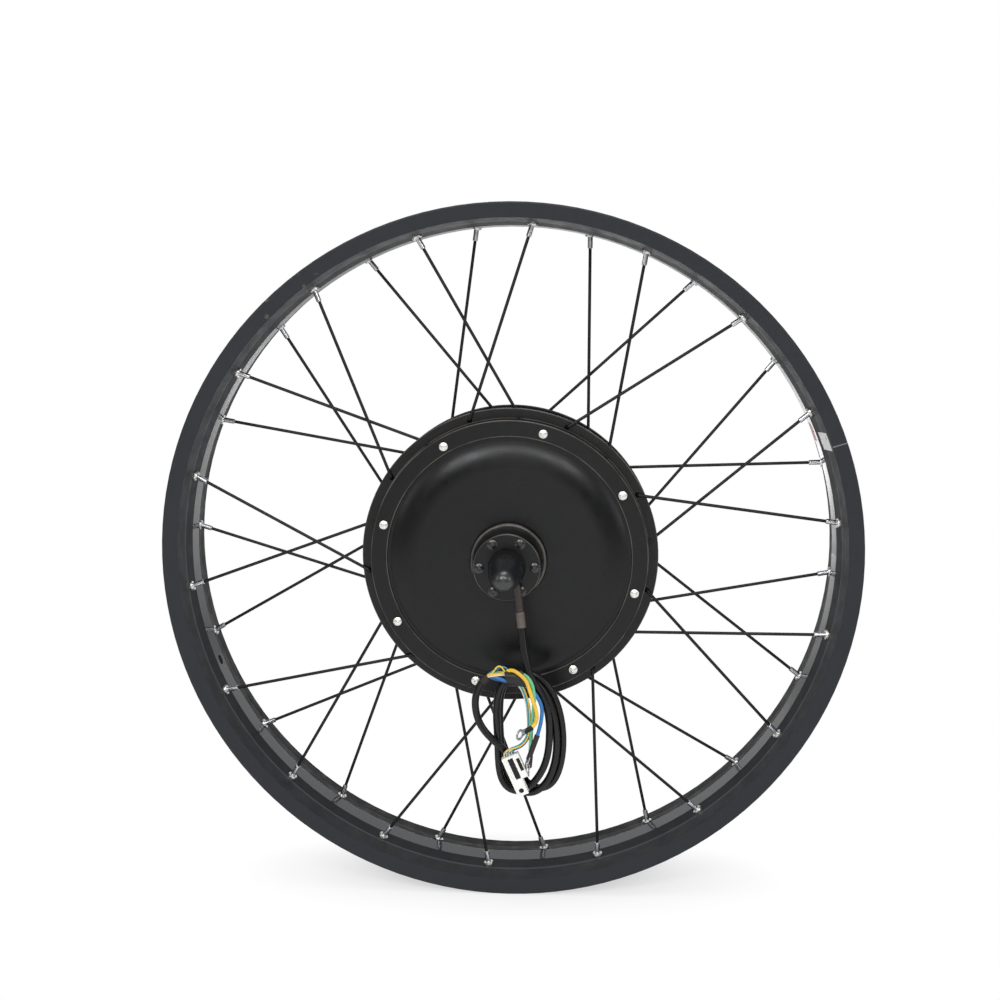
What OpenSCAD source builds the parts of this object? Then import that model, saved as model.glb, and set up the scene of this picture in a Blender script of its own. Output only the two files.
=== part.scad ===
// Spoked rear wheel for a 26 inch fat tyre, laced round a direct-drive hub motor.
// +Y is the spin axis and points from the disc brake side (left) to the freewheel side (right).
// +Z is up, and the origin is the centre of the wheel. All sizes are in millimetres.

/* [Rim] */
// Diameter of the tyre's bead seat
bead_seat_d = 559; // [552:1:570]
// Height of the rim's lip above the bead seat
lip_h = 6.5; // [5.5:0.1:7.5]
// Thickness of the rolled edge of the lip
lip_t = 2.6; // [2:0.1:3]
// Width over the two lips
rim_w = 86; // [83:1:90]
// Depth of the rim's bed below the bead seat, on the hub side
bed_depth = 9.75; // [9:0.05:11]
// Wall between the hub side and the tyre side of the bed
bed_t = 4; // [3.6:0.1:4.6]
// Width of the flat middle of the bed
bed_flat_w = 18.8; // [16:0.2:22]
// Distance between the two ridges beside the bed
ridge_w = 42.8; // [41:0.2:46]
// Height of the ridges above the bed
ridge_h = 2.2; // [1.9:0.05:2.5]
// Distance between the feet of the two sidewalls
foot_w = 80.6; // [78:0.2:81]
// Height of the sidewalls' feet above the bed
foot_h = 4; // [3.6:0.1:4.4]
// Thickness of the sidewalls at the bead seat
side_t = 2.2; // [1.8:0.1:2.6]
// Width of each bead seat
seat_w = 7.5; // [6:0.1:9]
// Diameter of the valve hole
valve_d = 8.5; // [6.5:0.1:9]
// Angle of the valve hole
valve_turn = 201.2; // [199:0.1:203]

/* [Spokes] */
// Number of spokes
spoke_count = 36; // [28:4:36]
// Diameter of the spoke wire
wire_d = 2.6; // [2:0.1:2.8]
// Angle of the first nipple on the left
nipple_turn = 6.2; // [0:0.1:10]
// Distance between the two rows of nipples
row_w = 32.6; // [28:0.2:36]
// Radius of the elbow's centre line
bend_r = 2.2; // [2:0.05:2.6]
// Depth at which the elbow starts below the flange's face
elbow_in = 0.4; // [0.3:0.05:0.5]
// Diameter of the spoke's head
head_d = 4.6; // [4:0.1:4.8]
// Thickness of the spoke's head
head_h = 1.1; // [0.8:0.1:1.5]

/* [Nipples and eyelets] */
// Diameter of the nipple's body
nipple_d = 4.2; // [4:0.1:4.4]
// Length of the nipple on the hub side of the rim
nipple_out = 11; // [9:0.5:13]
// Diameter of the nipple's head
nipple_head_d = 6.8; // [6.6:0.1:7.4]
// Height of the nipple's head above its cone
nipple_head_h = 1.2; // [1:0.1:1.6]
// Diameter of the eyelet's domed flare on the hub side
flare_d = 8.4; // [8:0.1:8.8]
// Depth of the flare's seat in the rim
flare_in = 1.5; // [1.2:0.1:1.6]
// Height of the flare above the rim
flare_out = 1.6; // [1.2:0.1:2]
// Diameter of the eyelet's tube
eyelet_d = 6; // [5.8:0.1:6.2]
// Diameter of the eyelet's collar on the tyre side
collar_d = 7.8; // [7.4:0.1:8]
// Thickness of the eyelet's collar
collar_t = 0.8; // [0.7:0.1:1]

/* [Hub shell] */
// Diameter of the spoke flanges
flange_d = 245.4; // [243:0.2:250]
// Diameter of the circle of spoke holes
hole_ring_d = 233.4; // [233:0.1:236]
// Angle of the first spoke hole on the left
hole_turn = 6.45; // [5.5:0.05:7.5]
// Distance between the outer faces of the two flanges
flange_w = 43; // [41:0.5:46]
// Thickness of a flange
flange_t = 4; // [3.6:0.1:4.4]
// Diameter of the spoke holes
spoke_hole_d = 2.9; // [2.9:0.05:3.1]
// Diameter of the shell between the flanges
shell_d = 226.8; // [225:0.2:227.4]
// Width of the shell without the covers
shell_w = 62; // [60:0.5:66]
// Bevel on the shell's edges and the mouths of its holes
bevel = 0.6; // [0.4:0.05:0.7]

/* [Covers] */
// Diameter of the covers
cover_d = 227.8; // [226.8:0.2:228]
// Thickness of the bolted edge
edge_t = 3.8; // [3.4:0.1:4.4]
// Diameter of the bolted edge's inner side
edge_in_d = 201; // [199:0.5:202.5]
// Depth of the groove inside the bolted edge
groove_t = 1.2; // [0.8:0.1:1.5]
// Diameter of the dome's foot
dome_d = 195; // [192:0.5:197]
// Diameter of the dome's flat middle
dome_flat_d = 150; // [140:1:156]
// Height of the dome's flat above the bolted edge
dome_h = 5.2; // [4.6:0.1:6]
// Wall of the dome
dome_t = 3.6; // [3.2:0.1:4]
// Length of the spigot that centres the cover in the shell
spigot_l = 2.5; // [2:0.1:3]
// Number of screws in each cover
screw_count = 8; // [6:1:10]
// Diameter of the screw circle
screw_ring_d = 212.8; // [211.6:0.2:214]
// Angle of the first cover screw
screw_turn = 30; // [25:0.5:35]
// Diameter of the cover screws
screw_d = 4; // [3.5:0.1:4.2]
// Length of the cover screws below their heads
screw_l = 12; // [9:0.5:14]
// Diameter of the screws' pan heads
screw_head_d = 7; // [6.6:0.1:7.4]
// Height of the screws' pan heads
screw_head_h = 2.4; // [2:0.1:2.8]

/* [Disc boss] */
// Distance from the frame's dropout face to the disc's mounting face
disc_inset = 15.3; // [15:0.1:16]
// Diameter of the disc's mounting face
disc_face_d = 53; // [51.8:0.2:54]
// Diameter of the boss just below the mounting face
boss_top_d = 54.6; // [54:0.2:55.6]
// Diameter of the boss above its base ring
boss_low_d = 57.4; // [56.6:0.2:58.4]
// Diameter of the base ring
base_ring_d = 63.4; // [62:0.2:66]
// Height of the base ring above the cover's flat
base_ring_h = 6; // [5:0.2:7]
// Radius of the base ring's rounded edge
base_ring_r = 3; // [2.4:0.1:3]
// Diameter of the disc's bolt circle
disc_pcd = 44; // [43.6:0.1:44.4]
// Angle of the first disc bolt
disc_turn = 1.2; // [0:0.1:5]
// Diameter of the disc bolts
disc_bolt_d = 5; // [4.6:0.1:5.2]
// Length of the disc bolts below their heads
disc_bolt_l = 12; // [9:0.5:13]
// Diameter of the disc bolts' button heads
disc_head_d = 8.4; // [8:0.1:8.8]
// Height of the disc bolts' button heads
disc_head_h = 2.6; // [2.4:0.1:3]

/* [Freewheel boss] */
// Outer diameter of the freewheel thread
thread_d = 34.8; // [34.4:0.1:35.2]
// Length of the freewheel thread
thread_l = 13; // [11:0.5:15]
// Diameter of the shoulder behind the thread
shoulder_d = 54; // [50:0.5:58]
// Height of the shoulder above the cover's flat
shoulder_h = 11.5; // [11:0.5:13]
// Radius of the shoulder's rounded edge
shoulder_r = 2; // [1.5:0.1:3]

/* [Axle] */
// Distance between the frame's dropouts
dropout_w = 175; // [170:1:190]
// Whole length of the axle
axle_l = 240; // [236:1:250]
// Diameter of the threaded ends
end_d = 14; // [13:0.1:14.2]
// Distance across the flats on the ends
flats_w = 10; // [9:0.1:11]
// Diameter of the axle between its bearings
axle_mid_d = 25; // [24.4:0.1:26]
// Diameter of the bore that the cable runs in
cable_bore_d = 6.6; // [6.4:0.1:7]
// Distance from the left dropout face to the cable's exit
exit_inset = 7.5; // [7:0.1:8]
// Angle at which the cable leaves the axle
exit_turn = -58; // [-62:1:-54]
// Thickness of the washers
washer_t = 2; // [1.5:0.1:2.5]
// Diameter of the washers
washer_d = 21; // [20:0.1:21.2]
// Distance across the nuts' flats
nut_af = 18; // [17:0.1:18.3]
// Height of the nuts
nut_h = 10; // [8:0.5:11]

/* [Bearings] */
// Bore of the bearings
bearing_in_d = 20; // [19.4:0.1:20.4]
// Outer diameter of the bearings
bearing_out_d = 42; // [41.4:0.1:42.6]
// Width of the bearings
bearing_w = 12; // [11:0.5:13]
// Distance between the inner faces of the two bearings
bearing_gap = 76; // [74:1:77]
// Number of balls in a bearing
ball_count = 9; // [7:1:9]
// Diameter of the balls
ball_d = 6.4; // [5.8:0.1:6.6]

/* [Axle caps] */
// Diameter of a cap at its mouth
cap_d = 27; // [26:0.1:28]
// Diameter of a cap below its dome
cap_tip_d = 17.6; // [17:0.1:18.4]
// How far a cap reaches inside the dropout face
cap_lap = 1.5; // [1:0.1:2]
// Length of a cap
cap_l = 43.5; // [42.5:0.5:46]

/* [Motor] */
// Diameter of the stator
stator_d = 188; // [187.4:0.1:188.4]
// Thickness of the stator's stack of laminations
stack_l = 35; // [33:0.5:36]
// Number of stator teeth
tooth_count = 51; // [45:3:51]
// Width of a tooth
tooth_w = 4.6; // [4.2:0.1:4.8]
// Diameter of the bottom of the slots
slot_floor_d = 149.2; // [148.6:0.1:152]
// Gap between two teeth at the stator's edge
slot_mouth_w = 2.4; // [2:0.1:3]
// Depth of the teeth's tips
tip_h = 1.7; // [1.5:0.1:2]
// Width of a coil over both sides
coil_w = 8.8; // [8:0.1:8.9]
// Height of a coil's end turns above the stack
end_turn_h = 5; // [4:0.1:5]
// Diameter of the spider that carries the stack
spider_d = 132; // [126:0.5:136]
// Diameter of the spider's hub
spider_hub_d = 40; // [36:0.5:46]
// Thickness of the spider
spider_l = 28; // [24:0.5:32]
// Width of the spider's arms
arm_w = 12; // [8:0.5:16]
// Number of the spider's arms
arm_count = 6; // [4:1:8]
// Number of magnets
magnet_count = 46; // [40:2:46]
// Thickness of the magnets
magnet_t = 2.8; // [2.4:0.1:2.9]
// Width of the magnets
magnet_w = 12; // [10:0.1:12.4]
// Length of the magnets
magnet_l = 37; // [34:0.5:40]
// Thickness of the steel ring behind the magnets
flux_t = 4.4; // [4.3:0.05:4.5]
// Length of the steel ring
flux_l = 42; // [40:0.5:46]

/* [Cable] */
// Diameter of the motor cable
cable_d = 5.8; // [5:0.1:6]
// Width of the coil of cable
coil_span = 74; // [70:1:80]
// Height of the coil of cable
coil_drop = 104; // [98:1:112]
// Thickness of the coiled bundle in the coil's plane
bundle_t = 18; // [14:0.5:20]
// Thickness of the coiled bundle along the axle
bundle_w = 13; // [11:0.5:13.5]
// Diameter of the phase leads
phase_d = 3; // [2.4:0.1:3.2]
// Width of the signal connector
plug_w = 14; // [13:0.5:17]
// Width of the lip at the lower end of the signal connector
plug_lip_w = 9; // [8:0.5:11]
// Length of the signal connector
plug_l = 33; // [30:0.5:38]
// Length of the wide head of the signal connector
plug_head_l = 20; // [19.5:0.5:24]
// Thickness of the signal connector
plug_t = 7; // [6:0.5:8]

/* [Hidden] */

$fn = 96;

// Clearance of a light press fit, and of pieces that only touch
fit = 0.02;
snug = 0.05;
// Clearance of a turning fit, and the air that a cut runs past a face
run = 0.15;
past = 1;

// Rim
seat_r = bead_seat_d / 2;
rim_r = seat_r + lip_h;
bed_r = seat_r - bed_depth;
ridge_r = bed_r + ridge_h;
foot_r = bed_r + foot_h;
lip_r = rim_r - lip_t / 2;
lip_z = rim_w / 2 - lip_t / 2;
side_slope = (rim_w - foot_w) / 2 / (lip_r - foot_r);
side_z = foot_w / 2 + side_slope * (seat_r - foot_r) - side_t;
shelf_z = side_z - seat_w;
row_z = row_w / 2;
bed_slope = ridge_h / (ridge_w / 2 - bed_flat_w / 2);
nipple_r = bed_r + bed_slope * (row_z - bed_flat_w / 2);

// Flanges and spokes
pairs = spoke_count / 4;
pitch = 360 / (spoke_count / 2);
wire_r = wire_d / 2;
flange_z = flange_w / 2;
flange_back = flange_z - flange_t;
shank_l = flange_t - elbow_in;
in_nipple = 4;

function polar(r, a) = [r * cos(a), r * sin(a)];
function arc(centre, r, from, to, steps) =
    [for (i = [0 : steps]) centre + polar(r, from + (to - from) * i / steps)];
// An outline of the half above the X axis, closed by its mirror image
function both_halves(half) =
    concat(half, [for (i = [len(half) - 1 : -1 : 0]) [half[i].x, -half[i].y]]);
function hub_point(outer, j) =
    polar(hole_ring_d / 2, hole_turn + pitch * (outer ? 2 * j + 1 : 2 * j));
function rim_point(outer, j) =
    polar(nipple_r, nipple_turn + pitch * (outer ? 2 * j : 2 * j + 1));
function spoke_span(outer) = norm(rim_point(outer, 0) - hub_point(outer, 0));
function elbow_z(outer) = outer ? flange_z - elbow_in : flange_back + elbow_in;
function spoke_rise(outer) = outer ? row_z - elbow_z(true) : elbow_z(false) - row_z;
// Angle that the elbow turns through, so that the spoke meets its seat on the rim
function elbow_turn(outer) =
    acos(-bend_r / norm([spoke_span(outer) - bend_r, spoke_rise(outer)]))
    - atan2(spoke_rise(outer), spoke_span(outer) - bend_r);
function shaft_l(outer) =
    norm([spoke_span(outer) - bend_r * (1 - cos(elbow_turn(outer))),
        spoke_rise(outer) - bend_r * sin(elbow_turn(outer))]);

// Eyelets and nipples, measured along the spoke from the rim's hub side. The collar clears the
// bed's slope and the spoke's tilt, and the nipple's cone starts a little inside the collar.
spoke_tilt = 0.13;
cone_sink = 0.75;
collar_z = bed_t + (bed_slope + spoke_tilt) * collar_d / 2;
cone_top_r = nipple_head_d / 2;
cone_z = collar_z + collar_t - cone_sink;
nipple_cone_h = cone_top_r - nipple_d / 2;

// Shell and covers
shell_z = shell_w / 2;
face_z = shell_z + edge_t;
flat_z = face_z + dome_h;
air_gap = 0.6;
glue_gap = 0.2;
shell_in_r = stator_d / 2 + air_gap + magnet_t + glue_gap + flux_t + fit;
groove_z = face_z - groove_t;
dome_r = dome_d / 2;
flat_r = dome_flat_d / 2;
dome_drop = flat_z - groove_z;
arc_r = (pow(dome_r - flat_r, 2) + pow(dome_drop, 2)) / (2 * dome_drop);

// Axle, bearings and bosses
dropout_z = dropout_w / 2;
disc_z = dropout_z - disc_inset;
journal_r = bearing_in_d / 2;
bearing_z = bearing_gap / 2;
bearing_top = bearing_z + bearing_w;
race_t = 3.4;
ball_ring_r = (bearing_in_d + bearing_out_d) / 4;
bearing_mid = bearing_z + bearing_w / 2;
bore_r = journal_r + 2.8;
seal_l = 4.4;
seal_r = journal_r + 5;
seal_sink = 0.8;
shoulder_z = flat_z + shoulder_h;
thread_top = shoulder_z + thread_l;
circlip_t = 1.5;
groove_in = 0.6;
sleeve_r = journal_r + 2.4;
exit_z = dropout_z - exit_inset;
cable_bore_r = cable_bore_d / 2;
port_r = cable_bore_r - 0.1;
lead_r = cable_bore_r - 0.4;
key_w = 5;
key_l = 22;
key_in = 3;
nut_z = dropout_z + washer_t;
nut_r = nut_af / 2 / cos(30);
cap_z = dropout_z - cap_lap;
cap_top = cap_z + cap_l;
cap_room = 0.3;

// Motor
stack_z = stack_l / 2;
core_r = stator_d / 2;
slot_floor_r = slot_floor_d / 2;
coil_low = slot_floor_r + 0.6;
coil_high = core_r - tip_h - 0.5;
coil_corner = 2.6;
coil_end_z = stack_z + end_turn_h;
magnet_low = core_r + air_gap;
board_t = 1.6;
board_w = 38;
board_in_r = coil_low + 2;
board_z = coil_end_z + 0.1;
sensor_pitch = 360 / tooth_count * 1.35;
// The leads enter the axle just past the sensor board
entry_z = board_z + board_t + lead_r + run;

// Cable
exit_r = journal_r + 2;
stem_in_r = journal_r - 1.4;
coil_x = 11;
coil_top = -78;
coil_y = 85;
bundle_low = coil_y - bundle_w / 2;
bundle_high = coil_y + bundle_w / 2;
round_r = coil_span / 2;
lead_y = -95.1;
hall_y = -95.4;
// A ring terminal's eye lies this far past the end of its lead, and its barrel starts at the lead
lug_reach = 11.8;
lug_gap = 0.3;
barrel_l = 5;

// Turns a piece drawn round Z onto the axle: Z then points to the left side of the wheel
module on_axle() {
    rotate([90, 0, 0]) children();
}

module on_right() {
    mirror([0, 0, 1]) children();
}

// The right row of spokes is the left one, mirrored and turned by half a pitch
module right_row() {
    rotate([0, 0, pitch / 2]) on_right() children();
}

module ring(r_in, r_out, low, high) {
    rotate_extrude() translate([r_in, low]) square([r_out - r_in, high - low]);
}

module round_the_axle(count, turn) {
    for (i = [0 : count - 1]) rotate([0, 0, turn + i * 360 / count]) children();
}

module rounded_bar(l, w, r) {
    square([l - 2 * r, w], center = true);
    square([l, w - 2 * r], center = true);
    for (x = [-1, 1], y = [-1, 1]) translate([x * (l / 2 - r), y * (w / 2 - r)]) circle(r);
}

// ---- Rim, spokes and nipples ----

// The left half of the rim's outline, from the bed on the hub side round the lip to the bed again
rim_outline = concat(
    [[bed_r, bed_flat_w / 2], [ridge_r, ridge_w / 2], [foot_r, foot_w / 2]],
    arc([lip_r, lip_z], lip_t / 2, 90, -90, 12),
    [[seat_r, side_z], [seat_r, shelf_z]],
    [[ridge_r + bed_t, ridge_w / 2], [bed_r + bed_t, bed_flat_w / 2]]
);

// Puts its children at each elbow of one set: Z along the spoke's shank, X towards the rim
module at_elbows(outer) {
    for (j = [0 : pairs - 1]) {
        hub = hub_point(outer, j);
        way = rim_point(outer, j) - hub;
        translate([hub.x, hub.y, elbow_z(outer)])
            rotate([0, 0, atan2(way.y, way.x)])
                mirror([0, 0, outer ? 0 : 1]) children();
    }
}

// Puts its children at each seat on the rim: Z along the spoke, away from the hub
module at_seats(outer) {
    at_elbows(outer)
        translate([spoke_span(outer), 0, spoke_rise(outer)])
            rotate([0, elbow_turn(outer), 0]) children();
}

module at_all_seats() {
    for (outer = [true, false]) {
        at_seats(outer) children();
        right_row() at_seats(outer) children();
    }
}

module eyelet_hole() {
    translate([0, 0, -flare_d / 2]) cylinder(d = flare_d + 2 * snug, h = flare_d / 2 + flare_in);
    cylinder(d = eyelet_d + 2 * fit, h = 2 * bed_t + past);
}

module rim() {
    color("#26282b") on_axle() difference() {
        rotate_extrude() polygon(both_halves(rim_outline));
        at_all_seats() eyelet_hole();
        rotate([0, 0, valve_turn]) translate([bed_r - past, 0, 0])
            rotate([0, 90, 0]) cylinder(d = valve_d, h = bed_t + 2 * past);
    }
}

module eyelet() {
    difference() {
        union() {
            intersection() {
                sphere(d = flare_d);
                translate([0, 0, -flare_out])
                    cylinder(d = flare_d + past, h = flare_out + flare_in - snug);
            }
            cylinder(d = eyelet_d, h = collar_z + collar_t);
            translate([0, 0, collar_z]) cylinder(d = collar_d, h = collar_t);
        }
        translate([0, 0, -flare_d]) cylinder(d = nipple_d + 2 * snug, h = 3 * flare_d);
        translate([0, 0, cone_z])
            cylinder(r1 = nipple_d / 2 + snug, r2 = cone_top_r + snug, h = nipple_cone_h);
    }
}

module eyelets() {
    color("#c9cbce") on_axle() at_all_seats() eyelet();
}

module nipple() {
    slot_w = 1;
    slot_h = 0.8;
    nose = 0.4;
    head_z = cone_z + nipple_cone_h;
    difference() {
        rotate_extrude() polygon([
            [0, -nipple_out], [nipple_d / 2 - nose, -nipple_out],
            [nipple_d / 2, -nipple_out + nose], [nipple_d / 2, cone_z],
            [cone_top_r, head_z], [cone_top_r, head_z + nipple_head_h],
            [0, head_z + nipple_head_h]
        ]);
        translate([0, 0, -nipple_out - past])
            cylinder(d = wire_d + 2 * fit, h = nipple_out + past + in_nipple + past);
        translate([-nipple_head_d / 2 - past, -slot_w / 2, head_z + nipple_head_h - slot_h])
            cube([nipple_head_d + 2 * past, slot_w, slot_h + past]);
    }
}

module nipples() {
    for (outer = [true, false]) at_seats(outer) nipple();
}

module left_nipples() {
    color("#cfd1d4") on_axle() nipples();
}

module right_nipples() {
    color("#cfd1d4") on_axle() right_row() nipples();
}

module spoke(outer) {
    turn = elbow_turn(outer);
    joint = 0.15;
    translate([0, 0, -shank_l - head_h]) cylinder(d = head_d, h = head_h);
    translate([0, 0, -shank_l]) cylinder(r = wire_r, h = shank_l + joint);
    translate([bend_r, 0, 0]) rotate([90, 0, 0]) rotate([0, 0, 180 - turn])
        rotate_extrude(angle = turn) translate([bend_r, 0]) circle(wire_r + fit);
    translate([bend_r * (1 - cos(turn)), 0, bend_r * sin(turn)]) rotate([0, turn, 0])
        translate([0, 0, -joint]) cylinder(r = wire_r, h = joint + shaft_l(outer) + in_nipple);
}

module spokes(outer) {
    color("#17181a") at_elbows(outer) spoke(outer);
}

module left_outer_spokes() {
    on_axle() spokes(true);
}

module left_inner_spokes() {
    on_axle() spokes(false);
}

module right_outer_spokes() {
    on_axle() right_row() spokes(true);
}

module right_inner_spokes() {
    on_axle() right_row() spokes(false);
}

// ---- Hub shell and covers ----

// The left half of the shell's outline, from its bore out over the flange
shell_outline = [
    [shell_in_r, shell_z], [shell_d / 2, shell_z], [shell_d / 2, flange_z],
    [flange_d / 2 - bevel, flange_z], [flange_d / 2, flange_z - bevel],
    [flange_d / 2, flange_back + bevel], [flange_d / 2 - bevel, flange_back],
    [shell_d / 2, flange_back]
];

module spoke_hole() {
    hole_r = spoke_hole_d / 2;
    translate([0, 0, flange_back - past]) cylinder(r = hole_r, h = flange_t + 2 * past);
    translate([0, 0, flange_z - bevel])
        cylinder(r1 = hole_r, r2 = hole_r + bevel + past, h = bevel + past);
    translate([0, 0, flange_back - past])
        cylinder(r1 = hole_r + bevel + past, r2 = hole_r, h = bevel + past);
}

module spoke_holes() {
    round_the_axle(spoke_count / 2, hole_turn)
        translate([hole_ring_d / 2, 0, 0]) spoke_hole();
}

module screw_holes() {
    round_the_axle(screw_count, screw_turn)
        translate([screw_ring_d / 2, 0, face_z - screw_l - past])
            cylinder(d = screw_d + 2 * fit, h = screw_l + past);
}

module hub_shell() {
    color("#1d1e20") on_axle() difference() {
        rotate_extrude() polygon(both_halves(shell_outline));
        spoke_holes();
        right_row() spoke_holes();
        screw_holes();
        on_right() screw_holes();
    }
}

// A dome's outline: flat in the middle, then an arc that falls to its foot
module dome_section(inset) {
    low = shell_z - spigot_l - past;
    translate([0, low]) square([flat_r, flat_z - inset - low]);
    intersection() {
        translate([flat_r, low]) square([dome_r + past - flat_r + inset, flat_z - low]);
        translate([flat_r, flat_z - arc_r]) circle(arc_r - inset, $fn = 180);
    }
}

// The plate that both covers share, without its boss
module cover_plate_section() {
    difference() {
        union() {
            translate([0, shell_z]) square([edge_in_d / 2, groove_z - shell_z]);
            polygon([
                [edge_in_d / 2 - past, shell_z], [cover_d / 2, shell_z],
                [cover_d / 2, face_z - bevel], [cover_d / 2 - bevel, face_z],
                [edge_in_d / 2, face_z], [edge_in_d / 2 - past / 2, groove_z]
            ]);
            translate([0, shell_z - spigot_l])
                square([shell_in_r - snug, spigot_l]);
            intersection() {
                dome_section(0);
                translate([0, shell_z]) square([dome_r, flat_z]);
            }
        }
        dome_section(dome_t);
    }
}

// A round boss with a rounded outer edge, in section
module rounded_step(r, low, high, round) {
    translate([0, low]) square([r - round, high - low]);
    translate([0, low]) square([r, high - round - low]);
    translate([r - round, high - round]) circle(round);
}

module screw_clearance() {
    round_the_axle(screw_count, screw_turn)
        translate([screw_ring_d / 2, 0, shell_z - past])
            cylinder(d = screw_d + 4 * snug, h = edge_t + 2 * past);
}

module bearing_pocket() {
    translate([0, 0, shell_z - spigot_l - past])
        cylinder(d = bearing_out_d + 2 * fit, h = bearing_top - shell_z + spigot_l + past);
    cylinder(r = bore_r, h = axle_l);
}

module left_cover() {
    color("#1b1c1d") on_axle() difference() {
        rotate_extrude() {
            cover_plate_section();
            rounded_step(base_ring_d / 2, flat_z - dome_t, flat_z + base_ring_h, base_ring_r);
            polygon([
                [0, flat_z - dome_t], [boss_low_d / 2, flat_z - dome_t],
                [boss_low_d / 2, flat_z + base_ring_h],
                [boss_top_d / 2, disc_z - (boss_top_d - disc_face_d) / 2],
                [disc_face_d / 2, disc_z], [0, disc_z]
            ]);
        }
        bearing_pocket();
        translate([0, 0, disc_z - seal_l - seal_sink]) cylinder(r = seal_r, h = axle_l);
        round_the_axle(6, disc_turn) translate([disc_pcd / 2, 0, disc_z - disc_bolt_l - past])
            cylinder(d = disc_bolt_d + 2 * fit, h = disc_bolt_l + 2 * past);
        screw_clearance();
    }
}

module right_cover() {
    color("#1b1c1d") on_axle() on_right() difference() {
        rotate_extrude() {
            cover_plate_section();
            rounded_step(shoulder_d / 2, flat_z - dome_t, shoulder_z, shoulder_r);
            polygon([
                [0, flat_z], [thread_d / 2, flat_z], [thread_d / 2, thread_top - bevel],
                [thread_d / 2 - bevel, thread_top], [0, thread_top]
            ]);
        }
        bearing_pocket();
        translate([0, 0, thread_top - seal_l - seal_sink]) cylinder(r = seal_r, h = axle_l);
        screw_clearance();
    }
}

// Pan head screw, with its head's underside at Z = 0
module pan_screw(d, l, head_d, head_h) {
    socket = head_d * 0.42;
    difference() {
        union() {
            translate([0, 0, -l]) cylinder(d = d, h = l);
            rotate_extrude() intersection() {
                square([head_d / 2, head_h]);
                translate([0, head_h - head_d * 0.9]) circle(head_d * 0.9);
            }
        }
        translate([0, 0, head_h - head_h * 0.55]) cylinder(d = socket, h = head_h, $fn = 6);
    }
}

module cover_screws() {
    color("#d5d6d8") round_the_axle(screw_count, screw_turn)
        translate([screw_ring_d / 2, 0, face_z])
            pan_screw(screw_d, screw_l - past, screw_head_d, screw_head_h);
}

module left_cover_screws() {
    on_axle() cover_screws();
}

module right_cover_screws() {
    on_axle() on_right() cover_screws();
}

module disc_bolts() {
    color("#2b2c2e") on_axle() round_the_axle(6, disc_turn)
        translate([disc_pcd / 2, 0, disc_z])
            pan_screw(disc_bolt_d, disc_bolt_l, disc_head_d, disc_head_h);
}

module left_seal() {
    top = disc_z - seal_sink;
    color("#111111") on_axle() ring(journal_r + run, seal_r - fit, top - seal_l, top);
}

module right_seal() {
    top = thread_top - seal_sink;
    color("#111111") on_axle() on_right() ring(sleeve_r + run, seal_r - fit, top - seal_l, top);
}

// ---- Motor ----

module flux_ring() {
    color("#8d8f92") on_axle()
        ring(shell_in_r - fit - flux_t, shell_in_r - fit, -flux_l / 2, flux_l / 2);
}

module magnets() {
    color("#a8aaad") on_axle() round_the_axle(magnet_count, 0)
        translate([magnet_low, -magnet_w / 2, -magnet_l / 2])
            cube([magnet_t, magnet_w, magnet_l]);
}

module core_section() {
    difference() {
        circle(core_r);
        difference() {
            circle(core_r - tip_h);
            circle(slot_floor_r);
            round_the_axle(tooth_count, 0) translate([0, -tooth_w / 2]) square([core_r, tooth_w]);
        }
        round_the_axle(tooth_count, 180 / tooth_count)
            translate([slot_floor_r, -slot_mouth_w / 2]) square([core_r, slot_mouth_w]);
        circle(spider_d / 2 + fit);
    }
}

module stator_core() {
    color("#3f7f5b") on_axle() linear_extrude(stack_l, center = true) core_section();
}

module windings() {
    color("#b4622f") on_axle() round_the_axle(tooth_count, 0)
        translate([coil_low, 0, 0]) rotate([0, 90, 0]) linear_extrude(coil_high - coil_low)
            difference() {
                rounded_bar(2 * coil_end_z, coil_w, coil_corner);
                square([stack_l + 2 * snug, tooth_w + 2 * snug], center = true);
            }
}

module stator_spider() {
    wheel_t = 5;
    color("#b9bcc0") on_axle() difference() {
        linear_extrude(spider_l, center = true) difference() {
            circle(spider_d / 2);
            difference() {
                circle(spider_d / 2 - wheel_t);
                circle(spider_hub_d / 2);
                round_the_axle(arm_count, 90)
                    translate([0, -arm_w / 2]) square([spider_d / 2, arm_w]);
            }
        }
        cylinder(d = axle_mid_d + 2 * fit, h = spider_l + past, center = true);
        translate([axle_mid_d / 2 - key_in - fit, -key_w / 2 - fit, -spider_l])
            cube([key_w + 2 * fit, key_w + 2 * fit, 2 * spider_l]);
    }
}

module hall_board() {
    color("#2f6b3a") on_axle() rotate([0, 0, -90])
        translate([board_in_r, -board_w / 2, board_z])
            cube([coil_high - coil_low, board_w, board_t]);
}

module hall_sensors() {
    sensor_w = 4;
    sensor_t = 1.4;
    color("#151515") on_axle() for (i = [-1 : 1])
        rotate([0, 0, -90 + i * sensor_pitch])
            translate([core_r - tip_h + 0.1, -sensor_w / 2, stack_z])
                cube([sensor_t, sensor_w, board_z - stack_z]);
}

// The insulated leads from the windings and the sensors, through the axle to the grommet
module lead_bundle() {
    branch_r = lead_r - 0.1;
    color("#1a1a1c") on_axle() {
        translate([0, 0, entry_z - lead_r])
            cylinder(r = lead_r, h = exit_z - entry_z + 2 * lead_r);
        rotate([0, 0, -90]) translate([0, 0, entry_z])
            rotate([0, 90, 0]) cylinder(r = branch_r, h = board_in_r + 6);
        rotate([0, 0, exit_turn]) translate([0, 0, exit_z])
            rotate([0, 90, 0]) cylinder(r = branch_r, h = stem_in_r - 0.1);
    }
}

// ---- Axle and bearings ----

module threaded_end() {
    translate([0, 0, dropout_z - past]) intersection() {
        cylinder(d = end_d, h = axle_l / 2 - dropout_z + past);
        translate([-end_d, -flats_w / 2, 0]) cube([2 * end_d, flats_w, axle_l]);
    }
}

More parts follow.
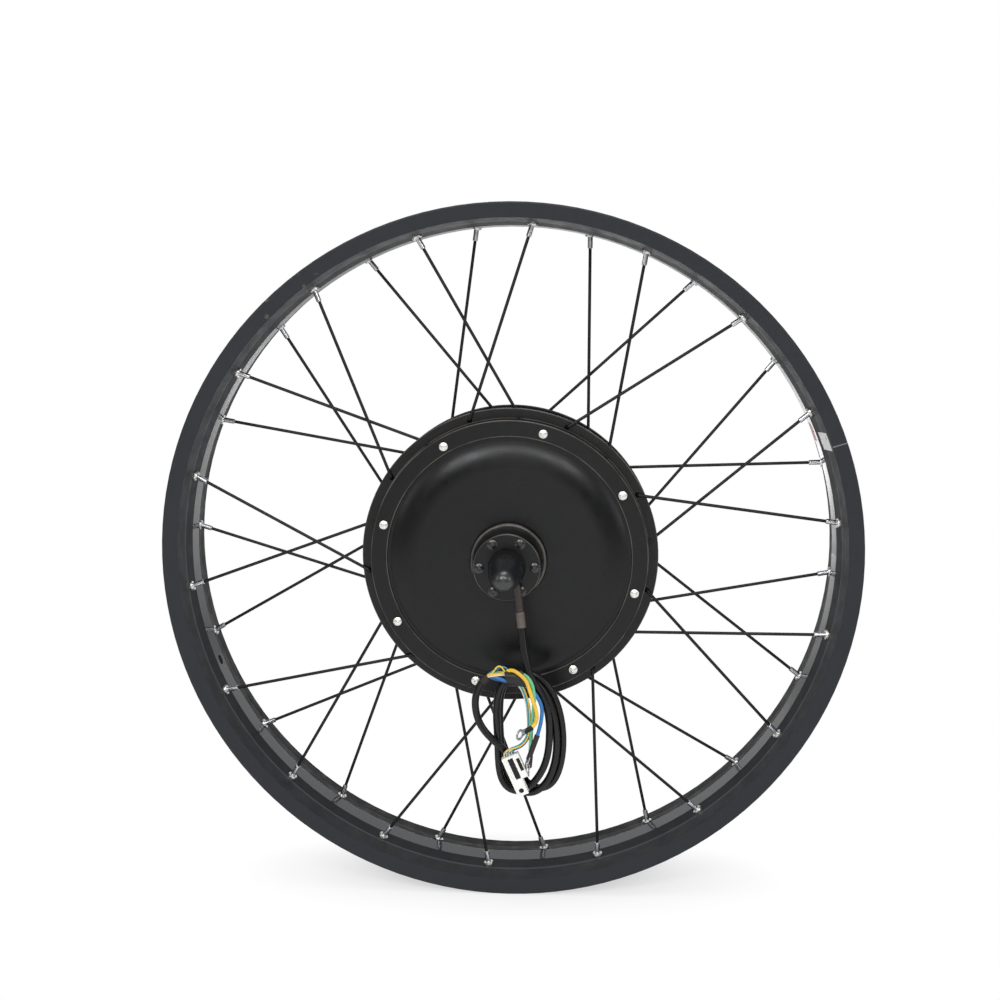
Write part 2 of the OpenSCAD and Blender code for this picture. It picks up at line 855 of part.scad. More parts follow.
module axle() {
    color("#b3b5b8") on_axle() difference() {
        union() {
            cylinder(d = axle_mid_d, h = bearing_gap, center = true);
            cylinder(r = journal_r, h = dropout_w, center = true);
            threaded_end();
            on_right() threaded_end();
        }
        translate([0, 0, entry_z - cable_bore_r])
            cylinder(r = cable_bore_r, h = exit_z - entry_z + 2 * cable_bore_r);
        rotate([0, 0, -90]) translate([0, 0, entry_z])
            rotate([0, 90, 0]) cylinder(r = port_r, h = axle_mid_d);
        rotate([0, 0, exit_turn]) translate([0, 0, exit_z])
            rotate([0, 90, 0]) cylinder(r = port_r, h = axle_mid_d);
        ring(journal_r - groove_in, axle_mid_d, bearing_top, bearing_top + circlip_t + 2 * fit);
        translate([axle_mid_d / 2 - key_in - fit, -key_w / 2 - fit, -key_l / 2])
            cube([axle_mid_d, key_w + 2 * fit, key_l]);
    }
}

module axle_key() {
    color("#9a9da1") on_axle()
        translate([axle_mid_d / 2 - key_in, -key_w / 2, -key_l / 2 + fit])
            cube([key_w, key_w, key_l - 2 * fit]);
}

module left_circlip() {
    low = bearing_top + fit;
    color("#55585c") on_axle() difference() {
        ring(journal_r - groove_in + fit, journal_r + 2, low, low + circlip_t);
        translate([0, -1.5, low - past]) cube([2 * journal_r, 3, circlip_t + 2 * past]);
    }
}

module right_spacer() {
    color("#8f9296") on_axle() on_right() ring(journal_r + fit, sleeve_r, bearing_top, dropout_z);
}

module axle_washer() {
    color("#a6a8ab") difference() {
        translate([0, 0, dropout_z]) cylinder(d = washer_d, h = washer_t);
        translate([0, 0, dropout_z - past]) intersection() {
            cylinder(d = end_d + 2 * run, h = washer_t + 2 * past);
            translate([-end_d, -flats_w / 2 - run, 0]) cube([2 * end_d, flats_w + 2 * run, axle_l]);
        }
    }
}

module left_washer() {
    on_axle() axle_washer();
}

module right_washer() {
    on_axle() on_right() axle_washer();
}

module axle_nut() {
    color("#9fa2a6") translate([0, 0, nut_z]) difference() {
        cylinder(r = nut_r, h = nut_h, $fn = 6);
        translate([0, 0, -past]) cylinder(d = end_d + 2 * fit, h = nut_h + 2 * past);
    }
}

module left_nut() {
    on_axle() axle_nut();
}

module right_nut() {
    on_axle() on_right() axle_nut();
}

// A push-on cap: a round-nosed shell over the nut and the end of the axle, with a wider mouth
module axle_cap() {
    tip_r = cap_tip_d / 2;
    wide_top = nut_z + nut_h + past;
    thread_room = end_d / 2 + cap_room;
    color("#202123") rotate_extrude() difference() {
        union() {
            polygon([
                [0, cap_z], [cap_d / 2, cap_z], [cap_d / 2 - 0.6, wide_top],
                [cap_d / 2 - 1.2, wide_top + 3], [tip_r, cap_top - tip_r], [0, cap_top - tip_r]
            ]);
            intersection() {
                translate([0, cap_top - tip_r]) circle(tip_r);
                translate([0, cap_top - tip_r]) square(tip_r);
            }
        }
        translate([0, cap_z - past]) square([sleeve_r + cap_room, past + cap_lap + snug]);
        translate([0, cap_z - past]) square([nut_r + cap_room, wide_top + past - cap_z]);
        translate([0, cap_z - past]) square([thread_room, axle_l / 2 + past + past - cap_z]);
    }
}

module left_axle_cap() {
    on_axle() axle_cap();
}

module right_axle_cap() {
    on_axle() on_right() axle_cap();
}

module ball_track() {
    translate([0, 0, bearing_mid]) rotate_extrude()
        translate([ball_ring_r, 0]) circle(d = ball_d + 2 * snug);
}

module bearing_outer() {
    color("#c2c5c9") difference() {
        ring(bearing_out_d / 2 - race_t, bearing_out_d / 2, bearing_z, bearing_top);
        ball_track();
    }
}

module bearing_inner() {
    color("#c2c5c9") difference() {
        ring(journal_r + fit, journal_r + race_t, bearing_z, bearing_top);
        ball_track();
    }
}

module bearing_balls() {
    color("#dfe1e4") round_the_axle(ball_count, 0)
        translate([ball_ring_r, 0, bearing_mid]) sphere(d = ball_d);
}

module bearing_cage() {
    cage_t = 1.6;
    color("#b08d4a") difference() {
        ring(ball_ring_r - cage_t / 2, ball_ring_r + cage_t / 2,
            bearing_mid - ball_d / 2 - 0.8, bearing_mid + ball_d / 2 + 0.8);
        round_the_axle(ball_count, 0)
            translate([ball_ring_r - cage_t, 0, bearing_mid])
                rotate([0, 90, 0]) cylinder(d = ball_d + 2 * snug, h = 2 * cage_t);
    }
}

module left_bearing_outer() {
    on_axle() bearing_outer();
}

module left_bearing_balls() {
    on_axle() bearing_balls();
}

module left_bearing_cage() {
    on_axle() bearing_cage();
}

module left_bearing_inner() {
    on_axle() bearing_inner();
}

module right_bearing_outer() {
    on_axle() on_right() bearing_outer();
}

module right_bearing_balls() {
    on_axle() on_right() bearing_balls();
}

module right_bearing_cage() {
    on_axle() on_right() bearing_cage();
}

module right_bearing_inner() {
    on_axle() on_right() bearing_inner();
}

// ---- Cable ----

// Unit direction of a route at point i
function along(route, i) =
    let (a = route[max(i - 1, 0)], b = route[min(i + 1, len(route) - 1)]) (b - a) / norm(b - a);
function unit(v) = v / norm(v);

// A tube swept along the points of a route, as one solid
module tube(route, r, sides) {
    n = len(route);
    rings = [for (i = [0 : n - 1])
        let (t = along(route, i), u = unit(cross(t, [0, 1, 0.01])), v = cross(t, u))
            for (k = [0 : sides - 1])
                route[i] + r * (cos(360 * k / sides) * u + sin(360 * k / sides) * v)];
    skin = [for (i = [0 : n - 2], k = [0 : sides - 1])
        let (a = i * sides + k, b = i * sides + (k + 1) % sides) [a, b, b + sides, a + sides]];
    ends = [[for (k = [sides - 1 : -1 : 0]) k], [for (k = [0 : sides - 1]) (n - 1) * sides + k]];
    polyhedron(rings, concat(skin, ends), convexity = 4);
}

// A collar on the axle with a stem in the cable's exit
module cable_grommet() {
    collar_r = cable_bore_r + 1;
    color("#2a2826") on_axle() rotate([0, 0, exit_turn]) translate([0, 0, exit_z]) {
        translate([stem_in_r, 0, 0]) rotate([0, 90, 0])
            cylinder(r = port_r - snug, h = exit_r - past / 2 - stem_in_r);
        difference() {
            translate([journal_r - past, 0, 0]) rotate([0, 90, 0])
                cylinder(r = collar_r, h = exit_r - journal_r + past);
            cylinder(r = journal_r + fit, h = 4 * collar_r, center = true);
        }
    }
}

function exit_point(r) = [polar(r, exit_turn).x, -exit_z, polar(r, exit_turn).y];

cable_route = [
    exit_point(exit_r + snug), exit_point(exit_r + 3), [9, -80.6, -16.6], [9.4, -81.1, -20.5],
    [10, -82, -26], [11, -83, -33], [12, -84, -42], [13, -85, -52], [14.5, -85, -62],
    [16, -85, -70], [17, -85, -78.1]
];

module motor_cable() {
    color("#151516") tube(cable_route, cable_d / 2, 10);
}

module oval(r) {
    mid_l = coil_drop - coil_span;
    translate([coil_x, coil_top - round_r]) {
        circle(r);
        translate([-r, -mid_l]) square([2 * r, mid_l]);
        translate([0, -mid_l]) circle(r);
    }
}

module cable_coil() {
    color("#151516") on_axle() translate([0, 0, bundle_low])
        linear_extrude(bundle_w) difference() {
            oval(round_r);
            oval(round_r - bundle_t);
        }
}

// A wrap round the top of the coil, tall enough for the coil's curve
module cable_tie() {
    tie_w = 12;
    tie_t = 1.2;
    room = 0.4;
    tie_x = 7;
    far = coil_x - tie_x + tie_w / 2;
    low = coil_top - round_r + sqrt(pow(round_r - bundle_t, 2) - pow(far, 2)) - room;
    inner_h = coil_top + room - low;
    inner_t = bundle_w + 2 * room;
    color("#0e0e0f") on_axle() translate([tie_x, low + inner_h / 2, coil_y]) difference() {
        cube([tie_w, inner_h + 2 * tie_t, inner_t + 2 * tie_t], center = true);
        cube([tie_w + past, inner_h, inner_t], center = true);
    }
}

yellow_route = [[5, lead_y, -85], [12, -95.8, -85.2], [16.5, -97.3, -88.5], [20, -98.4, -95],
    [23, -98.6, -103], [25, -98.8, -111], [24.4, -99.6, -117.5], [20.5, -99.6, -122.5]];
green_route = [[5, lead_y, -81.3], [14, lead_y, -81.3], [19.5, lead_y, -85], [23, lead_y, -94],
    [24.5, lead_y, -103], [23.5, lead_y, -114], [21.8, lead_y, -126], [21, lead_y, -137]];
blue_route = [[5, lead_y, -77.6], [15, lead_y, -76], [23, lead_y, -80], [28, lead_y, -90],
    [30, lead_y, -100], [29.5, -96, -110], [27.5, -98.5, -122], [26, -98.5, -133]];

module phase_leads() {
    for (lead = [["#d9a520", yellow_route], ["#2f9e72", green_route], ["#2463b8", blue_route]])
        color(lead[0]) tube(lead[1], phase_d / 2, 8);
}

module ring_terminal(at, turn) {
    lug_d = 7;
    lug_t = 1;
    neck_w = 3.4;
    neck_l = 6;
    barrel_d = 3.6;
    color("#b8b9bb") translate(at) rotate([90, turn, 0]) difference() {
        union() {
            cylinder(d = lug_d, h = lug_t, center = true);
            translate([neck_l / 3, -neck_w / 2, -lug_t / 2]) cube([neck_l, neck_w, lug_t]);
            translate([lug_reach - lug_gap, 0, 0]) rotate([0, -90, 0])
                cylinder(d = barrel_d, h = barrel_l);
        }
        cylinder(d = 4.3, h = 2 * lug_d, center = true);
    }
}

module ring_terminals() {
    for (lead = [yellow_route, green_route, blue_route]) {
        end = lead[len(lead) - 1];
        way = unit(end - lead[len(lead) - 2]);
        ring_terminal(end + lug_reach * way, atan2(way.z, -way.x));
    }
}

hall_route = [[5, hall_y, -90], [11, hall_y, -91.5], [15.5, hall_y, -97], [18, hall_y, -105],
    [18.6, hall_y, -113], [18.2, hall_y, -120.5], [16.4, hall_y, -127], [12.8, hall_y, -131.6],
    [8, hall_y, -134.4], [4.2, hall_y, -136.4], [2, hall_y, -139], [2.07, hall_y, -142.1],
    [3.7, hall_y, -145.8]];

module hall_leads() {
    color("#d8d8d4") tube(hall_route, 1.8, 8);
}

// The signal plug hangs from its leads: a wide head with two sockets, and a narrow lip with a hole
module hall_connector() {
    sockets = [[-0.4, 3.3, -19, 16.5], [5.4, 2, -13.5, 9.5]];
    end = hall_route[len(hall_route) - 1];
    way = end - hall_route[len(hall_route) - 2];
    tilt = -atan2(way.x, -way.z);
    lip_l = plug_l - plug_head_l;
    color("#ececea") translate(end) rotate([0, tilt, 0]) difference() {
        translate([-plug_w / 2, -plug_t / 2, -snug]) {
            translate([0, 0, -plug_head_l]) cube([plug_w, plug_t, plug_head_l]);
            translate([0, 0, -plug_l]) cube([plug_lip_w, plug_t, lip_l + past]);
        }
        for (s = sockets)
            translate([s[0] - s[1] / 2, -plug_t / 2 - past, s[2]]) cube([s[1], past + 1.5, s[3]]);
        translate([(plug_lip_w - plug_w) / 2, 0, -plug_l + 4]) rotate([90, 0, 0])
            cylinder(d = 4, h = 2 * plug_t, center = true);
    }
}

rim();
eyelets();
left_nipples();
right_nipples();
left_outer_spokes();
left_inner_spokes();
right_outer_spokes();
right_inner_spokes();
hub_shell();
left_cover();
right_cover();
left_cover_screws();
right_cover_screws();
disc_bolts();
left_seal();
right_seal();
flux_ring();
magnets();
left_bearing_outer();
left_bearing_balls();
left_bearing_cage();
left_bearing_inner();
right_bearing_outer();
right_bearing_balls();
right_bearing_cage();
right_bearing_inner();
axle();
axle_key();
left_circlip();
right_spacer();
left_washer();
right_washer();
left_nut();
right_nut();
left_axle_cap();
right_axle_cap();
stator_spider();
stator_core();
windings();
hall_board();
hall_sensors();
lead_bundle();
cable_grommet();
motor_cable();
cable_coil();
cable_tie();
phase_leads();
ring_terminals();
hall_leads();
hall_connector();
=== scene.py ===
"""Looks of a spoked rear wheel for a fat tyre, laced round a direct-drive hub motor.

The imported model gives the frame: +Y along the axle, +Z up, metres. Its rigid pieces keep their
meshes and get finishes. The motor cable, its wrap, the leads and their ends are made here as
surfaces worked out with numpy, along the same routes as in the part's source.
"""

import logging
import math
from dataclasses import dataclass, field
from enum import Enum

import bmesh
import bpy
import numpy as np
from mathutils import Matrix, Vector


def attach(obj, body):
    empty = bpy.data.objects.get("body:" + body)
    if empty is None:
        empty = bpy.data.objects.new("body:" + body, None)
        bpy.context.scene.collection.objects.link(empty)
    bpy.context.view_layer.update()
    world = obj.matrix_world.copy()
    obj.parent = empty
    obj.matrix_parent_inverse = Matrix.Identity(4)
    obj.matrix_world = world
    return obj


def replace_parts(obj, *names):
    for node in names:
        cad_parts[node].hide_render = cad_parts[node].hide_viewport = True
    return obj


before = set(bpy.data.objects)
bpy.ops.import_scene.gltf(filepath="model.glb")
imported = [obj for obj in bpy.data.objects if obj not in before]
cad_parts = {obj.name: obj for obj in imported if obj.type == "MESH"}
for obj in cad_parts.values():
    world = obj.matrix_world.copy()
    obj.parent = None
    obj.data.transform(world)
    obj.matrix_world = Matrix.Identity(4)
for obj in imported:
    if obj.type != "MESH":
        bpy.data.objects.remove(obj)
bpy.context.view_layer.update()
MM = 0.001
AXLE = "axle"
WHEEL = "wheel"
FEWEST = 6  # points on the shortest line
FINER = 6  # how much finer a curve is cut before it is spaced evenly
BESIDE = np.array([0.0, 1.0, 0.01])  # almost along the axle
Socket = bpy.types.NodeSocket
log = logging.getLogger("wheel")


# ---------------------------------------------------------------- surfaces

@dataclass
class Surface:
    """A mesh worked out as whole arrays.

    Attributes:
        verts: Points, one row each, in metres.
        faces: Index lists, quads and triangles.
        uv: One texture point for each point of the mesh.
    """

    verts: np.ndarray
    faces: list
    uv: np.ndarray

    def joined(self, other: "Surface") -> "Surface":
        """Return this surface and another one as a single mesh."""
        shift = len(self.verts)
        moved = [[i + shift for i in face] for face in other.faces]
        return Surface(np.vstack([self.verts, other.verts]), self.faces + moved,
                       np.vstack([self.uv, other.uv]))

    def placed(self, origin: np.ndarray, turn: np.ndarray) -> "Surface":
        """Return the surface turned by a 3 by 3 matrix, then moved.

        Args:
            origin: Where the surface's own origin goes.
            turn: Columns are the images of the surface's own axes.

        Returns:
            The placed surface.
        """
        return Surface(self.verts @ turn.T + origin, self.faces, self.uv)


def unit(v: np.ndarray) -> np.ndarray:
    """Return vectors of length one along the last axis."""
    return v / np.linalg.norm(v, axis=-1, keepdims=True)


def smooth_route(points: list, step: float = 0.8, soften: int = 0) -> np.ndarray:
    """Lay a smooth curve through points and cut it into even steps.

    Between two points the curve is the cubic whose end slopes are the length-weighted means of the
    slopes on both sides, so it bends without a kink where the points are unevenly spaced.

    Args:
        points: Points in millimetres.
        step: Spacing of the result in millimetres.
        soften: How many times each inner point is averaged with its neighbours.

    Returns:
        Points in metres, evenly spaced.
    """
    p = np.asarray(points, float)
    d = np.linalg.norm(np.diff(p, axis=0), axis=1)
    slope = np.diff(p, axis=0) / d[:, None]
    inner = (slope[1:] * d[:-1, None] + slope[:-1] * d[1:, None]) / (d[:-1] + d[1:])[:, None]
    m = np.vstack([slope[:1], inner, slope[-1:]])
    s = np.concatenate([[0], np.cumsum(d)])
    q = np.linspace(0, s[-1], max(int(s[-1] / step) * FINER, 2 * FEWEST))
    i = np.clip(np.searchsorted(s, q, side="right") - 1, 0, len(d) - 1)
    t = ((q - s[i]) / d[i])[:, None]
    h = d[i][:, None]
    c = ((2 * t**3 - 3 * t**2 + 1) * p[i] + (t**3 - 2 * t**2 + t) * h * m[i]
         + (3 * t**2 - 2 * t**3) * p[i + 1] + (t**3 - t**2) * h * m[i + 1])
    run = run_of(c)
    even = np.linspace(0, run[-1], max(int(round(run[-1] / step)) + 1, FEWEST))
    c = np.stack([np.interp(even, run, c[:, k]) for k in range(3)], axis=1)
    for _ in range(soften):
        c[1:-1] = (c[:-2] + 2 * c[1:-1] + c[2:]) / 4
    return c * MM


def run_of(path: np.ndarray) -> np.ndarray:
    """Return how far along a line each of its points lies: the sum of the steps before it."""
    return np.concatenate([[0], np.cumsum(np.linalg.norm(np.diff(path, axis=0), axis=1))])


def length_of(path: np.ndarray) -> float:
    """Return the length of a line of points."""
    return float(np.linalg.norm(np.diff(path, axis=0), axis=1).sum())


def circle(count: int) -> np.ndarray:
    """Return the angles of evenly spaced points on a circle, from zero."""
    return np.arange(count) * 2 * np.pi / count


def quads(rows: int, columns: int, ring: bool = False) -> list:
    """Return the faces between neighbouring points of a grid, whose last column meets the first.

    Face (i, k) joins the points (i, k), (i, k + 1), (i + 1, k + 1) and (i + 1, k).

    Args:
        rows: Rows of points.
        columns: Points in each row.
        ring: Whether the last row meets the first as well.

    Returns:
        Index lists of four points each.
    """
    i, k = np.meshgrid(np.arange(rows if ring else rows - 1), np.arange(columns), indexing="ij")
    i2, k2 = (i + 1) % rows, (k + 1) % columns
    corners = [i * columns + k, i * columns + k2, i2 * columns + k2, i2 * columns + k]
    return np.stack(corners, -1).reshape(-1, 4).tolist()


def shell(rings: np.ndarray, along: np.ndarray) -> Surface:
    """Join rings of points into one skin, with a pole at each end.

    Each end is closed by triangles that meet at the mean of its ring.

    Args:
        rings: Points as rings, columns and coordinates.
        along: How far each ring lies along the skin, in metres, for the texture.

    Returns:
        The closed skin.
    """
    n, s = rings.shape[:2]
    verts = np.vstack([rings.reshape(-1, 3), rings[0].mean(0), rings[-1].mean(0)])
    around = np.tile(np.arange(s) / s, n)
    uv = np.vstack([np.stack([around, np.repeat(along, s)], axis=1),
                    [0.5, along[0]], [0.5, along[-1]]])
    c = np.arange(s)
    c2 = (c + 1) % s
    first = np.stack([np.full(s, n * s), c2, c], -1)
    last = np.stack([np.full(s, n * s + 1), (n - 1) * s + c, (n - 1) * s + c2], -1)
    return Surface(verts, quads(n, s) + first.tolist() + last.tolist(), uv)


def frames(path: np.ndarray) -> tuple[np.ndarray, np.ndarray]:
    """Return two cross directions at each point of a line.

    The first is the tangent's cross product with a line almost along the axle, so it never twists
    on a route that hangs beside the wheel. The second is the tangent's product with the first.
    """
    t = unit(np.gradient(path, axis=0))
    u = unit(np.cross(t, BESIDE))
    return u, np.cross(t, u)


def tube(path: np.ndarray, radius: np.ndarray | float, sides: int = 16) -> Surface:
    """Carry a circle along a line.

    Point (i, k) is the i-th point of the line plus the radius there, turned by k shares of a turn
    from the first cross direction towards the second.

    Args:
        path: Points of the centre line, in metres.
        radius: One radius, or one for each point.
        sides: Points round the circle.

    Returns:
        A closed skin.
    """
    u, v = frames(path)
    a = circle(sides)[None, :, None]
    r = np.broadcast_to(np.asarray(radius, float), (len(path),))[:, None, None]
    rings = path[:, None] + r * (np.cos(a) * u[:, None] + np.sin(a) * v[:, None])
    return shell(rings, run_of(path))


def eased_ends(path: np.ndarray, radius: float, ease: float) -> tuple[np.ndarray, np.ndarray]:
    """Add close rings at both ends of a line, so that a tube on it has small round edges.

    Args:
        path: Points of the centre line, in metres.
        radius: Radius of the tube.
        ease: Radius of its rounded edges.

    Returns:
        The line with the added points, and a radius for each.
    """
    a = np.linspace(0, np.pi / 2, 5)[:-1]
    t0, t1 = unit(path[1] - path[0]), unit(path[-1] - path[-2])
    start = path[0] + np.outer(ease * (1 - np.cos(a)), t0)
    end = path[-1] - np.outer(ease * (1 - np.cos(a[::-1])), t1)
    run = run_of(path)
    clear = ease * 1.2
    keep = (run > clear) & (run < run[-1] - clear)
    line = np.vstack([start, path[0] + ease * t0, path[keep], path[-1] - ease * t1, end])
    edge = radius - ease + ease * np.sin(a)
    r = np.concatenate([edge, [radius], np.full(keep.sum(), radius), [radius], edge[::-1]])
    return line, r


def turned(profile: tuple, steps: int, origin: np.ndarray, axis: np.ndarray) -> Surface:
    """Turn a profile round an axis.

    Args:
        profile: Radius and height of each point in millimetres, from one end to the other.
        steps: Points round the axis.
        origin: A point on the axis, in metres.
        axis: Direction of the axis.

    Returns:
        A closed skin.
    """
    p = np.asarray(profile, float) * MM
    w = unit(np.asarray(axis, float))
    side = np.array([1.0, 0, 0]) if abs(w[0]) < 0.9 else np.array([0, 0, 1.0])
    u = unit(np.cross(w, side))
    v = np.cross(w, u)
    a = circle(steps)[:, None]
    ring = np.cos(a) * u + np.sin(a) * v
    rings = origin + p[:, 0][:, None, None] * ring[None] + p[:, 1][:, None, None] * w
    return shell(rings, run_of(p))


def rounded_box(size: tuple, edge: float, steps: int = 5, at: tuple = (0, 0, 0)) -> Surface:
    """Make a box with round edges: an eased profile of a rounded rectangle, stacked along Z.

    The outline is a rectangle whose corners are quarter circles, and it is drawn in by the same
    quarter circle towards both ends.

    Args:
        size: Width, depth and height in millimetres.
        edge: Radius of the edges.
        steps: Points on each quarter circle.
        at: Its middle, in millimetres.

    Returns:
        A closed skin, in metres.
    """
    w, d, h = (np.array(size) / 2).tolist()
    q = np.linspace(0, np.pi / 2, steps)
    sx, sy = np.array([1, -1, -1, 1]), np.array([1, 1, -1, -1])
    a = (np.arange(4)[:, None] * np.pi / 2 + q[None]).reshape(-1)
    cx, cy = np.repeat(sx * (w - edge), steps), np.repeat(sy * (d - edge), steps)
    e = edge * np.sin(q)
    z = np.concatenate([-h + edge * (1 - np.cos(q)), (h - edge * (1 - np.cos(q)))[::-1]])
    r = np.concatenate([e, e[::-1]])
    x = cx[None] + r[:, None] * np.cos(a)[None]
    y = cy[None] + r[:, None] * np.sin(a)[None]
    rings = np.stack([x, y, np.repeat(z[:, None], len(a), 1)], -1) * MM
    return shell(rings + np.array(at) * MM, z * MM)


def map_corners(mesh: bpy.types.Mesh, points: np.ndarray) -> None:
    """Give each corner of a mesh its texture point.

    A face that spans the seam, where the first number falls from almost one to zero, has one added
    to its low corners, so that the pattern doesn't run backwards there.

    Args:
        mesh: The mesh.
        points: A texture point for each point of the mesh.
    """
    layer = mesh.uv_layers.new(name="UVMap")
    corner = np.empty(len(mesh.loops), dtype=np.int32)
    mesh.loops.foreach_get("vertex_index", corner)
    totals = np.empty(len(mesh.polygons), dtype=np.int32)
    mesh.polygons.foreach_get("loop_total", totals)
    uv = points[corner]
    face = np.repeat(np.arange(len(totals)), totals)
    high = np.zeros(len(totals))
    np.maximum.at(high, face, uv[:, 0])
    uv[:, 0] += (high[face] - uv[:, 0]) > 0.5
    layer.data.foreach_set("uv", uv.astype(np.float32).ravel())


def add_piece(name: str, surface: Surface, finish: "Finish", body: str,
              smooth: float = 40) -> bpy.types.Object:
    """Put a surface into the scene as a piece that rides on a body.

    Args:
        name: The piece's name.
        surface: Its mesh.
        finish: Its finish.
        body: The body that it moves with.
        smooth: Edges sharper than this angle, in degrees, stay sharp.

    Returns:
        The new object.
    """
    mesh = bpy.data.meshes.new(name)
    mesh.from_pydata(surface.verts.tolist(), [], surface.faces)
    map_corners(mesh, surface.uv)
    work = bmesh.new()
    work.from_mesh(mesh)
    bmesh.ops.recalc_face_normals(work, faces=work.faces)
    work.to_mesh(mesh)
    work.free()
    mesh.polygons.foreach_set("use_smooth", np.ones(len(mesh.polygons), dtype=bool))
    mesh.set_sharp_from_angle(angle=math.radians(smooth))
    mesh.materials.append(finish.material())
    piece = bpy.data.objects.new(name, mesh)
    bpy.context.scene.collection.objects.link(piece)
    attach(piece, body)
    log.info("%s: %d points, %d faces", name, len(mesh.vertices), len(mesh.polygons))
    return piece


# ---------------------------------------------------------------- finishes

class Lines(Enum):
    """Which way the fine lines of a finish run."""

    NONE = "none"
    ROUND_AXLE = "round the axle"
    ROUND_UV = "round the piece's own length"


def linear(hex_colour: str) -> tuple[float, float, float, float]:
    """Return a colour written as rrggbb in the renderer's linear numbers."""
    c = np.array([int(hex_colour[i:i + 2], 16) for i in (0, 2, 4)]) / 255
    c = np.where(c <= 0.04045, c / 12.92, ((c + 0.055) / 1.055) ** 2.4)
    return (float(c[0]), float(c[1]), float(c[2]), 1.0)


class Nodes:
    """The node tree of a material or a world, with short ways to add and join nodes.

    Attributes:
        tree: The tree.
        shader: The tree's main shader.
    """

    def __init__(self, owner: bpy.types.ID, kind: str = "BSDF_PRINCIPLED") -> None:
        """Take hold of the tree of a material or a world, and of its shader of one kind."""
        owner.use_nodes = True
        self.tree = owner.node_tree
        self.shader = next(n for n in self.tree.nodes if n.type == kind)

    def add(self, kind: str, **values: object) -> bpy.types.Node:
        """Add a node and set its properties and inputs.

        Args:
            kind: The node's type name.
            **values: Properties, or inputs by name with underscores for spaces.

        Returns:
            The new node.
        """
        node = self.tree.nodes.new(kind)
        for key, value in values.items():
            if hasattr(node, key):
                setattr(node, key, value)
            else:
                self.feed(value, node.inputs[key.replace("_", " ")])
        return node

    def feed(self, value: object, socket: Socket) -> None:
        """Set a socket to a number or colour, or join an output to it."""
        if isinstance(value, Socket):
            self.tree.links.new(value, socket)
        else:
            socket.default_value = value

    def maths(self, what: str, a: object, b: object = 0.0) -> Socket:
        """Return the output of a maths node on two numbers or outputs."""
        node = self.tree.nodes.new("ShaderNodeMath")
        node.operation = what
        self.feed(a, node.inputs[0])
        self.feed(b, node.inputs[1])
        return node.outputs[0]

    def times(self, a: object, b: object) -> Socket:
        """Return the product of two numbers or outputs."""
        return self.maths("MULTIPLY", a, b)

    def below(self, a: object, b: object) -> Socket:
        """Return 1 where the first is less than the second, and 0 elsewhere."""
        return self.maths("LESS_THAN", a, b)

    def above(self, a: object, b: object) -> Socket:
        """Return 1 where the first is greater than the second, and 0 elsewhere."""
        return self.maths("GREATER_THAN", a, b)

    def apart(self, a: object, b: object) -> Socket:
        """Return how far two numbers are apart."""
        return self.maths("ABSOLUTE", self.maths("SUBTRACT", a, b))

    def length(self, a: object, b: object) -> Socket:
        """Return the root of the sum of two squares."""
        return self.maths("SQRT", self.maths("ADD", self.times(a, a), self.times(b, b)))

    def place(self) -> Socket:
        """Return the place on the object, in metres."""
        return self.add("ShaderNodeTexCoord").outputs["Object"]

    def split(self, vector: Socket) -> tuple[Socket, Socket, Socket]:
        """Return the three numbers of a vector."""
        return tuple(self.add("ShaderNodeSeparateXYZ", Vector=vector).outputs)

    def noise(self, size: float, detail: float = 3.0, vector: Socket | None = None) -> Socket:
        """Return a noise whose blotches are about a size in metres across."""
        node = self.add("ShaderNodeTexNoise", Scale=1 / size, Detail=detail, Roughness=0.55)
        self.feed(vector or self.place(), node.inputs["Vector"])
        return node.outputs["Fac"]

    def spread(self, value: Socket, low: float, high: float,
               to_low: float, to_high: float) -> Socket:
        """Return a value mapped from one span to another, held inside it."""
        node = self.add("ShaderNodeMapRange", Value=value, From_Min=low, From_Max=high,
                        To_Min=to_low, To_Max=to_high)
        return node.outputs["Result"]

    def blend(self, share: object, a: object, b: object) -> Socket:
        """Return the mix of two colours."""
        node = self.tree.nodes.new("ShaderNodeMix")
        node.data_type = "RGBA"
        self.feed(share, node.inputs["Factor"])
        self.feed(a, node.inputs["A"])
        self.feed(b, node.inputs["B"])
        return node.outputs["Result"]

    def round_axle(self) -> tuple[Socket, Socket, Socket]:
        """Return the distance from the axle, the place along it and the angle round it."""
        x, y, z = self.split(self.place())
        return self.length(x, z), y, self.maths("ARCTAN2", z, x)


COAT_ROUGH = 0.12
RELIEF_DEPTH = 0.0002  # height of the fine relief, in metres


